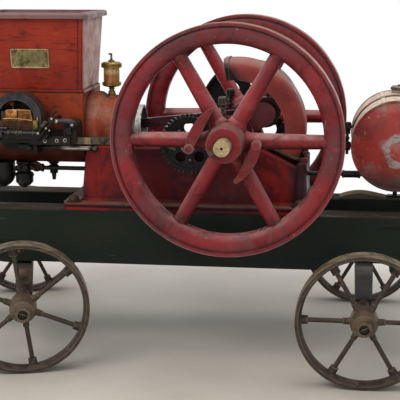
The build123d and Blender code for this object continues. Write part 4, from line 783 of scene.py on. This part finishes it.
    def done(self, name, material, body="cart"):
        """Makes a piece of what was collected, and starts the next one."""
        data = bpy.data.meshes.new(name)
        bmesh.ops.recalc_face_normals(self.bm, faces=self.bm.faces)
        self.bm.transform(Matrix.Scale(MM, 4))
        self.bm.to_mesh(data)
        self.bm.free()
        self.bm = bmesh.new()
        data.materials.append(MATERIALS[material])
        for face in data.polygons:
            face.use_smooth = True
        data.set_sharp_from_angle(angle=math.radians(34))
        obj = placed(name, data)
        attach(obj, body)


# Name plate: raised border and four rivets on the bare brass, which leans with the hopper's side
TILT = math.atan2(27, 217)
PLATE = Vector((-431, -111.8 - (859 - 758.3) * math.tan(TILT), 859))
PLATE_UP = Vector((0, -math.sin(TILT), math.cos(TILT)))
PLATE_OUT = Vector((0, -math.cos(TILT), -math.sin(TILT)))


def on_plate(across, up):
    return PLATE + Vector((across, 0, 0)) + PLATE_UP * up


s = Shape()
loop = []
for corner_x, corner_z, first in ((1, 1, 0), (-1, 1, 90), (-1, -1, 180), (1, -1, 270)):
    for step in range(4):
        turn = math.radians(first + step * 30)
        loop.append(on_plate(corner_x * 51.5 + 4 * math.cos(turn), corner_z * 22.5 + 4 * math.sin(turn)))
s.rod(loop + loop[:1], 1.9, 6, False)
for across in (-50, 50):
    for up in (-21, 21):
        s.lathe([(2.4, 0), (2.1, 1), (1.2, 1.7), (0, 1.9)], on_plate(across, up), PLATE_OUT, 12)
s.done("plate_border", "border_tan")

# Hopper: the black joint line between its foot and the cylinder casting
left, middle, right, half, level = -579.7, -428, -276.3, 110.7, 759.6
s.rod([(left, -half, level), (-488, -111, 760), (-378, -half, 759.3), (right, -half, level)], 3.4, 8, False)
corners = ((right, -half), (right, 0), (right, half), (middle, half), (left, half), (left, -half))
s.rod([(x, y, level) for x, y in corners], 3, 8, False)
s.done("hopper_joint", "oil_and_shade_black")

# Oiler: beads and knurling on the cap, the sight neck and its lock nut
for radius, level in ((30.2, 826.8), (30.2, 836.2), (28.6, 779.5), (27, 772.2)):
    s.rod(hoop((OILER_X, 0, level), radius, 12), 1.1, 6, False)
s.knurl((OILER_X, 0, 0), 30.2, 828, 835, 10, 0.8, 5)
s.lathe([(4.5, 0), (9.5, 0.5), (9.5, 3), (6, 4.6), (4.6, 4.6)], (OILER_X, 0, 843.5), UP, 24)
s.hexagon((OILER_X, 0, 747.8), UP, 21, 7)
s.collar((OILER_X, 0, 759), UP, 7.2, 9.8, 1, 3.5, 24)
s.rod([(OILER_X + 9, -9, 776), (OILER_X + 22, -22, 776.5)], 2.2, 8)
s.done("oiler_trim", "brass_old")

# Magneto: coil windings in front of the housing, with the cut wire ends between them
for k in range(8):
    x0, x1, z = -488 + 12 * k / 7, -402.2 - 6.5 * k / 7, 689.5 + 27 * k / 7
    y0, y1 = -221.2, -160
    s.rod([(-447, y0, z), (x0 + 4, y0, z), (x0, y0 + 4, z), (x0, y1, z)], 2.1, 7, False)
    s.rod([(-443.5, y0, z), (x1 - 4, y0, z), (x1, y0 + 4, z), (x1, y1, z)], 1.9, 7, False)
    for n in range(10):
        s.lathe([(0, -1.6), (1.5, -1), (1.7, 0.4), (0, 1.7)], (-440.5 + 3.6 * n + 1.8 * (k % 2), y0 - 1.6, z), NEAR, 7)
s.block((-445.5, -190, 703), (72, 62, 29), 3)
s.done("magneto_coil", "copper_coil")
for k in range(7):
    for n in range(10):
        at = (-440 + 3.7 * n + 1.8 * (k % 2), -222.2, 662.5 + 3.8 * k)
        s.lathe([(0, -1), (1.6, 0), (1.4, 1.4), (0, 2)], at, NEAR, 7)
for k in range(4):
    heights = (665.5 + 6.2 * k, 667.5 + 5.8 * k, 666 + 6 * k)
    s.rod([(x, -222.6, z) for x, z in zip((-496 + 2 * k, -462, -447), heights)], 1.7, 6, False)
s.done("magneto_low_coil", "copper_dark")
s.rod([(-489, -223.5, 692.5), (-470, -224.5, 694.5), (-445, -224.5, 693.5), (-420, -224.5, 691.5),
       (-402, -223.5, 689)], 1.4, 8)
s.rod([(-477, -220.5, 717.8), (-443, -221.2, 719), (-408.5, -220.5, 717.8)], 1.2, 8)
s.rod([(-408.5, -220.5, 717.8), (-403, -222.5, 690)], 1.1, 7)
s.done("magneto_tape", "tape_tan")

# Magneto: end plates, brass blocks, dark back plate and contact
s.block((-396, -202.5, 658.5), (15, 28, 60), 2)
s.block((-508, -202.5, 658.5), (15, 28, 60), 2)
s.block((-445, -220.5, 703.5), (3.5, 6, 30))
s.block((-453.5, -221.5, 671.5), (4, 5, 28))
s.done("magneto_end_plates", "bolt_black")
s.block((-393, -218.5, 675.2), (13.5, 10, 29), 2)
s.block((-397.5, -206.2, 634.5), (13, 10, 14.5), 2)
s.rod([(-387, -219, 688.5), (-388.5, -215, 696), (-390, -205, 700)], 2.8)
s.done("magneto_brasses", "brass_dull")
s.lathe([(0, 0), (51.5, 0), (51.5, 4), (45, 5.5), (0, 5.5)], (-452, -157.5, 693), NEAR, 40)
s.lathe([(30, 0), (34, 2), (34, 6), (30, 7)], (-452, -163, 712), NEAR, 32)
s.done("magneto_back", "oil_and_shade_black")
s.block((-466, -195, 734.5), (13, 16, 15), 3, lean(0.3))
s.rod([(-465.5, -195, 728), (-463, -200, 718)], 3.2)
s.done("magneto_contact", "bolt_red")

# Trip linkage: bars, arms and bosses between the magneto and the rods
s.block((-358, -199.5, 628.5), (122, 5.5, 25), 1.2)
s.block((-452, -219.5, 644.5), (150, 9, 19), 2)
s.rod([(-482, -232, 654.5), (-500, -228, 662), (-520, -222, 666.5)], 4)
for x, r in ((-469, 6.6), (-458.5, 5.6), (-396, 5.2)):
    s.hexagon((x, -232.2, 654.3), RIGHT, r * 1.9, 5.2, x * 0.009)
s.rod([(-382.5, -231, 653), (-376.5, -230.5, 665), (-368, -229, 677), (-355, -226, 686.5)], 4.6)
s.rod([(-373.5, -226, 648), (-364, -226, 662), (-356, -224, 674), (-350, -222, 680)], 3.6)
s.block((-377, -214, 650), (16, 30, 14), 2)
s.block((-366, -210, 642), (12, 18, 18), 2, lean(0.5))
s.lathe([(0, -6), (7.5, -5), (10, 0), (10, 10), (7, 13.5), (0, 14.5)], (-346.5, -214, 689), NEAR, 22)
s.rod([(-346.5, -216, 689), (-346.5, -121.5, 689)], 5)
s.rod([(-346.5, -220, 695), (-342.5, -220, 708), (-336, -219, 714), (-327.5, -215, 715.5)], lambda t: 4.6 - 1.8 * t)
s.rod([(-346.5, -220, 682), (-352, -218, 670), (-360, -212, 656), (-364, -206, 640)], 4.8)
s.lathe([(0, 0), (10.8, 0), (10.8, 9), (8.8, 11.5), (6, 11.5), (6, 10), (0, 10)], (-288.5, -195.5, 676.2), NEAR, 24)
s.rod([(-312, -198, 644), (-311, -200, 654), (-305, -200, 660.5), (-297, -200, 659), (-293, -199, 651)], 3.4)
s.block((-301, -198.5, 656), (16, 6, 22), 2)
s.block((-435, -150, 602), (60, 18, 16), 3)
s.lathe([(10, 0), (10, 10), (7, 13), (0, 13)], (-460, -136, 601), NEAR, 20)
s.lathe([(8, 0), (8, 12), (6, 14), (0, 14)], (-418, -195, 606), NEAR, 20)
s.done("trip_linkage", "bolt_black")
s.rod([(-482, -233.5, 655.2), (-440, -234.5, 654.8), (-382, -232.5, 654)], 3.8)
s.rod([(-474, -230.5, 666.8), (-500, -228.5, 666.5), (-524, -221.5, 666)], 4)
s.lathe([(10.5, 0), (12.5, 1.5), (12.5, 6), (8, 8.5), (0, 9)], (-502, -228, 650), NEAR, 24)
for at in ((-396.5, -234.5, 654.5), (-470, -236, 655)):
    s.lathe([(5.2, 0), (6, 1.5), (4.5, 4), (0, 4.5)], at, NEAR, 16)
s.rod([(-338, -214, 686.2), (-331, -206, 686.2), (-295, -206, 686), (-288.5, -204, 680)],
      lambda t: 4.6 if t < 0.12 else 7.6, 14)
s.done("magneto_rods", "rod_grey")
s.spring((-450, -232.5, 654.2), (-428, -233, 654), 6, 1.2, 5)
s.spring((-372, -232, 672), (-359, -229, 688), 5.2, 1.1, 5)
s.done("trip_springs", "fitting_steel")

# Bright bolts of the bracket, pale as painted glints, three of them with sockets, and the rivets of the linkage
SOCKETS = ((-370.7, 627.2), (-335.8, 628.6), (-311.2, 630.2))
s.stud((-333.5, -210.5, 686.2), NEAR, 10, 4.5, 3, 0.2)
s.stud((-288.5, -205, 676.2), NEAR, 9.5, 6, 3, 0.4)
for x, z in SOCKETS:
    s.lathe([(5.8, 0), (6, 1.6), (5.2, 3), (3.6, 3), (3.4, 1.2), (0, 1.2)], (x, -202, z), NEAR, 20)
s.rivet((-382.5, -235, 653.5), NEAR, 4, 3.6, 1.2, 2, 14)
s.rivet((-368, -232.5, 676.8), NEAR, 3, 2.8, 1, 1.8)
for at in ((-360, -229.5, 668), (-343, -228, 695.5)):
    s.rivet(at, NEAR, 3.4, 3, 1, 1.8)
s.rivet((-352, -222.5, 661), NEAR, 2.6, 2.4, 1, 1.6)
s.rivet((-460, -148.5, 601), NEAR, 5, 4.5, 2, 3, 14)
s.lathe([(5.2, 0), (5.8, 1), (5.8, 5), (4, 7), (0, 7.4)], (-333.5, -210.5, 686.2), NEAR, 18)
s.done("bracket_bolts", "glint_steel")
# Black discs in the sockets: painted shade in their holes.
for x, z in SOCKETS:
    s.rivet((x, -203, z), NEAR, 3.4, 3.4, 0.8, 0.8, 16)
s.done("bracket_bolt_holes", "oil_and_shade_black")

# Push rod and latch rod: the bolt and the wear plate near the cam, and the rivet in the ball end
s.hexagon((-203, -188, 629), NEAR, 15, 5.2, 0.2, 1.2)
s.rivet((-236, -188, 627.5), NEAR, 4.2, 3.4, 2, 2.6, 14)
s.block((-199, -188.6, 635.5), (34, 3, 2.6), 0.6)
s.done("push_rod_bolt", "bolt_rust", "push_rod")
s.lathe([(6.2, 0), (5.8, 2.2), (3, 3.4), (0, 3.6)], (-234, -158.2, 600.5), NEAR, 18)
s.collar((-252, -151, 600), RIGHT, 6.9, 8.5, 1, 5, 18)
s.done("latch_rod_pin", "fitting_steel", "latch_rod")

# Hold-down nuts of the engine on the beams
for x in (-300, 366):
    for y in (-157, 157):
        s.lathe([(21, 0), (22.5, 1.5), (22.5, 4), (20, 5), (0, 5)], (x, y, 440.8), UP, 24)
        s.hexagon((x, y, 445.5), UP, 32, 9, 0.3 + x * MM)
        s.lathe([(14, 0), (13.2, 3), (10, 6), (5, 7.8), (0, 8.2)], (x, y, 454), UP, 20)
s.done("hold_down_nuts", "rust_brown")

# Nuts of the bearing caps, of the cylinder foot and of the cam stud, and the cam gear's rivets
for y in (-113, 113):
    for x in (127, 213):
        s.stud((x, y, 688.8), UP, 21, 10, 7, x * 0.003)
for y in (-112, 112):
    s.stud((-108, y, 599.8), UP, 21, 10, 8, 0.4, 2)
    s.stud((-20, y, 599.8), UP, 18, 9, 7, 0.1, 2)
s.done("engine_nuts", "bolt_red")
s.hexagon((CAM.x, -193.8, CAM.z), NEAR, 30, 12, 0.2, 2)
s.done("cam_stud_nut", "fitting_steel")
for k in range(5):
    a = math.radians(56 + 72 * k)
    s.rivet((CAM.x + 47 * math.cos(a), -166, CAM.z + 47 * math.sin(a)), NEAR, 4.2, 3.6, 2, 2.8)
s.done("cam_gear_rivets", "fitting_steel", "cam")

# Grease cups: lock nuts and beads
for y in (-113, 113):
    s.hexagon((138, y, 701), UP, 20, 10, 0.3)
    s.hexagon((138, y, 716.5), UP, 16, 8, 0.1)
    for z in (730, 736, 742):
        s.rod(hoop((138, y, z), 13.7, 15), 0.8, 5, False)
s.done("grease_cup_nuts", "cup_steel")

# Crankshaft: a black disc for the centre hole in its end, painted shade
s.rivet(CRANK + Vector((0, -437.9, 0)), NEAR, 4, 3.6, 0.3, 0.3, 20)
s.done("shaft_centre", "oil_and_shade_black", "crank")

# Connecting rod: nuts and heads of both big end bolts
tilt = math.asin(STROKE_HALF * math.sin(CRANK_TURN) / ROD_LENGTH)
pin = CRANK + Vector((math.cos(CRANK_TURN), 0, math.sin(CRANK_TURN))) * STROKE_HALF
along = Vector((math.cos(tilt), 0, math.sin(tilt)))
for sign in (-1, 1):
    middle = pin + Vector((-math.sin(tilt), 0, math.cos(tilt))) * 34 * sign
    s.stud(middle + along * 32.8, along, 21, 10, 4, 0.2)
    s.hexagon(middle - along * 32.8, -along, 21, 9, 0.5)
s.done("rod_bolt_nuts", "bolt_black", "rod")

# Crank guard: nuts and bolt ends on its foot, and the rolled lips beside them
for y in (-42, 42):
    s.stud((375, y, 578.8), UP, 21, 9, 9, 0.3)
    s.lathe([(8.5, 0), (8, 6), (4, 9), (0, 9.5)], (365.5, y + 14, 568.2), UP, 14)
for y in (-70, 70):
    s.rod([(264, y, 604), (305, y, 585), (340, y, 570), (356, y, 566)], lambda t: 5 + 3 * min(1.0, t * 3))
s.done("guard_nuts", "bolt_rust")

# Fuel tank: strap nuts and pipe collars, seams, filler cap
for z, axis, flats, height, spin, washer in ((654.5, DOWN, 19, 8, 0.2, 1.5), (601.5, UP, 19, 8, 0.5, 1.5),
                                             (659.5, UP, 19, 9, 0.1, 1.5), (596.5, DOWN, 19, 9, 0.4, 1.5),
                                             (635, UP, 15, 10, 0.4, 0), (618, UP, 13, 8, 0.7, 0)):
    s.hexagon((499, 0, z), axis, flats, height, spin, washer)
for x, radius in ((-438, 11.5), (448, 9.2), (486, 11.8), (532, 12)):
    s.collar((x, -72, 526), RIGHT, 6.6, radius, 1, 8)
s.done("strap_and_pipe_nuts", "bolt_black")
turn = math.radians(-18)
s.block(TANK + Vector((math.sin(turn), 0, math.cos(turn))) * 128.7, (11, 288, 1.8), 0.6, lean(turn))
for y in (-142.5, -157.5, 142.5, 157.5):
    s.rod(hoop(TANK + Vector((0, y, 0)), 129, 6, RIGHT, UP), 1.2, 5, False)
s.done("tank_seams", "tank_red")
s.lathe([(26.2, 0), (27.5, 1), (27.5, 9), (24, 12), (8, 12.5), (8, 16), (0, 16)], (654, 96, 758), UP, 32)
s.knurl((654, 96, 0), 27.5, 760, 766, 20, 1.6, 6)
s.done("filler_cap", "fitting_steel")

# Fuel pipe: elbow with its nut and the small pipe beside it
s.hexagon((-436, -72, 526), RIGHT, 24, 10, 0.2)
s.rod([(-456, -74, 539.5), (-434, -80, 540), (-414, -82, 532)], lambda t: 4.8 + 2 * math.sin(t * math.pi))
s.collar((-419, -72, 526), RIGHT, 8.5, 12.5, 1, 7)
s.rod([(-449, -90, 533), (-440, -92, 526), (-433, -88, 519)], 4.2)
s.done("pipe_elbow", "rust_brown")

# Mixer: nuts, needle handle and lumps; drain cock: flange, nut, collar and handle
s.hexagon((-473, -72, 472.5), DOWN, 18, 8, 0.2)
s.collar((-473, -72, 499.5), UP, 26.8, 29, 1.5, 7.5, 32)
s.hexagon((-473, -72, 509), UP, 34, 10, 0.1)
s.rod([(-473, -95, 488), (-473, -112, 488), (-470, -122, 486)], 3.8)
s.lathe([(9, 0), (9, 6), (6, 8), (0, 8)], (-470, -119, 486.5), NEAR, 18)
s.lathe([(0, 0), (21.5, 0), (21.5, 3), (13, 8.5), (0, 9.5)], (-389, -40, 544.7), DOWN, 28)
s.lathe([(16.5, 0), (19.5, 2), (19.5, 12), (15, 15), (0, 15)], (-481, -78, 516.5), UP, 20)
s.block((-470, -92, 529), (30, 22, 20), 4, lean(0.3))
s.lathe([(8, 0), (8, 9), (5.5, 12), (0, 12.5)], (-479, -101, 533), NEAR, 16)
s.rod([(-493, -92, 505), (-498, -96, 518), (-490, -100, 531)], 3.6)
s.hexagon((-389, -40, 519), UP, 29, 11, 0.2)
s.collar((-389, -40, 504.5), UP, 8.5, 12.5, 1, 5)
s.rod([(-389, -52, 520.7), (-389, -64, 520.7)], 5)
s.block((-389, -64, 520.7), (20, 3.5, 9), 1, lean(0.3))
s.done("mixer_and_cock_trim", "bolt_black")

# Cylinder head: studs and two plugged bosses
for y in (-82, 82):
    for z in (576, 724):
        s.lathe([(6.5, 0), (6.5, 7), (4, 10), (0, 10.5)], (-628, y, z), LEFT, 16)
for z in (622, 690):
    s.collar((-634, 0, z), LEFT, 29, 31, 2, 8, 32)
s.done("head_studs", "bolt_red")

# Cart wheels: split pins and washers at the hub noses, and collars at both ends of the spokes
for wheel, (hub, turn, pin_turn, spoke_turn) in WHEELS.items():
    outward = Vector((math.sin(turn), -math.cos(turn), 0)) * (1 if hub.y < 0 else -1)
    across = Vector((math.cos(turn), math.sin(turn), 0))
    reach = around(across, Vector(UP), pin_turn)
    end = hub + outward * 71.2
    s.rod([end - reach * 23.5, end + reach * 22.5], 2.4, 8)
    s.rod(hoop(end - reach * 24.5, 4.2, 30, reach, outward.cross(reach)), 1.5, 6, False)
    s.collar(hub + outward * 76, outward, 14.8, 19, 0.4, 2.6, 28)
    s.done(wheel + "_pin", "fitting_steel", wheel)
    for k in range(6):
        ray = around(across, Vector(DOWN), math.radians(k * 60) + spoke_turn)
        for place, girth in ((55, 8.6), (152.2, 12.1)):
            profile = [(6, -2.2), (girth, -1.4), (girth + 0.4, 0), (girth, 1.4), (6, 2.2)]
            s.lathe(profile, hub + ray * place, ray, 14)
    s.done(wheel + "_collars", wheel + "_iron", wheel)

# Front bolster: iron end caps with a domed bolt, a ledge and a small bolt
TURNED = Matrix.Rotation(STEER, 3, "Z")


def on_bolster(x, y, z):
    return Vector((FRONT_X, 0, 0)) + TURNED @ Vector((x, y, z))


for side in (-1, 1):
    outward = TURNED @ Vector((0, side, 0))
    s.block(on_bolster(0, side * 251.8, 216.5), (46.5, 4.5, 75), 1.8, TURNED)
    s.lathe([(15, 0), (16.5, 1), (16.5, 3), (11, 6.5), (5, 8), (0, 8.2)], on_bolster(-4, side * 253.8, 236.5),
            outward, 24)
    s.block(on_bolster(0, side * 254.8, 184), (44, 5, 7), 1.8, TURNED)
    s.hexagon(on_bolster(10, side * 253.8, 208), outward, 12, 4, 0.4)
s.done("front_bolster_caps", "cap_rust", "front_carriage")

# Bolts in the rear bolster's far end, and beam bolts through the cross timber
for z in (262, 236):
    s.hexagon((REAR_X, 249.8, z), FAR, 17, 7, z * 0.009, 1.2)
s.done("rear_bolster_bolts", "bolt_rust")
for x in (-524, -468):
    for side in (-1, 1):
        s.hexagon((x, side * 177.8, 296), (0, side, 0), 22, 9, x * MM, 2.5)
s.done("beam_bolts", "bolt_rust")

# Floor: warm pale grey round the cart, white further away
floor_data = bpy.data.meshes.new("floor")
floor_data.from_pydata([(-9, -9, 0), (9, -9, 0), (9, 14, 0), (-9, 14, 0)], [], [(0, 1, 2, 3)])
floor = placed("floor", floor_data)
g = Graph("floor_paint")
g.colour = g.mix((g.noise(1.7, 6, 0.6), 0.3, 0.7), "cdc6ba", "bfb8ab")
g.coat("a9a296", (g.noise(60, 5, 0.7), 0.5, 0.8, 0, 0.25))
g.finish(0.75)
far = g.span(g.vector("LENGTH", g.mapped((0.62, 1, 1), (0, 0.35, 0))), 1.05, 1.75)
g.blend(g.times(far, g.seen()), g.shader, g.add("ShaderNodeEmission", {"Strength": 1.0}))
floor_data.materials.append(g.mat)


class Sky(Graph):
    """The world's nodes, with the same short calls."""

    def __init__(self, name):
        world = bpy.data.worlds.new(name)
        bpy.context.scene.world = world
        world.use_nodes = True
        self.tree = world.node_tree
        self.tree.nodes.clear()
        self.out = self.add("ShaderNodeOutputWorld")


# World: soft grey light, seen as white
sky = Sky("studio")
soft = sky.add("ShaderNodeBackground", {"Color": (0.93, 0.96, 1.0, 1.0), "Strength": 0.62})
white = sky.add("ShaderNodeBackground", {"Color": (1.0, 1.0, 1.0, 1.0), "Strength": 1.0})
sky.blend(sky.seen(), soft, white)


def lamp(name, place, aim, size, power, colour):
    data = bpy.data.lights.new(name, "AREA")
    data.shape = "RECTANGLE"
    data.size, data.size_y = size
    data.energy = power
    data.color = colour
    obj = placed(name, data)
    obj.location = place
    obj.rotation_euler = (Vector(aim) - Vector(place)).to_track_quat("-Z", "Y").to_euler()


lamp("key", (-1.6, -2.6, 3.4), (0, 0, 0.5), (2.6, 1.8), 62, (1.0, 0.97, 0.93))
lamp("top", (0.4, 0.4, 3.6), (0, 0, 0.5), (3.6, 2.4), 48, (1.0, 1.0, 1.0))

# Camera, fitted to the photo
camera_data = bpy.data.cameras.new("camera")
camera_data.sensor_width = 36.0
camera_data.lens = 103.5
camera = placed("camera", camera_data)
camera.location = (0.501091, -3.42363, 1.115434)
camera.rotation_euler = (math.pi / 2 - 0.198, 0.001, 0.129)
bpy.context.scene.camera = camera
bpy.context.scene.view_settings.view_transform = "Standard"
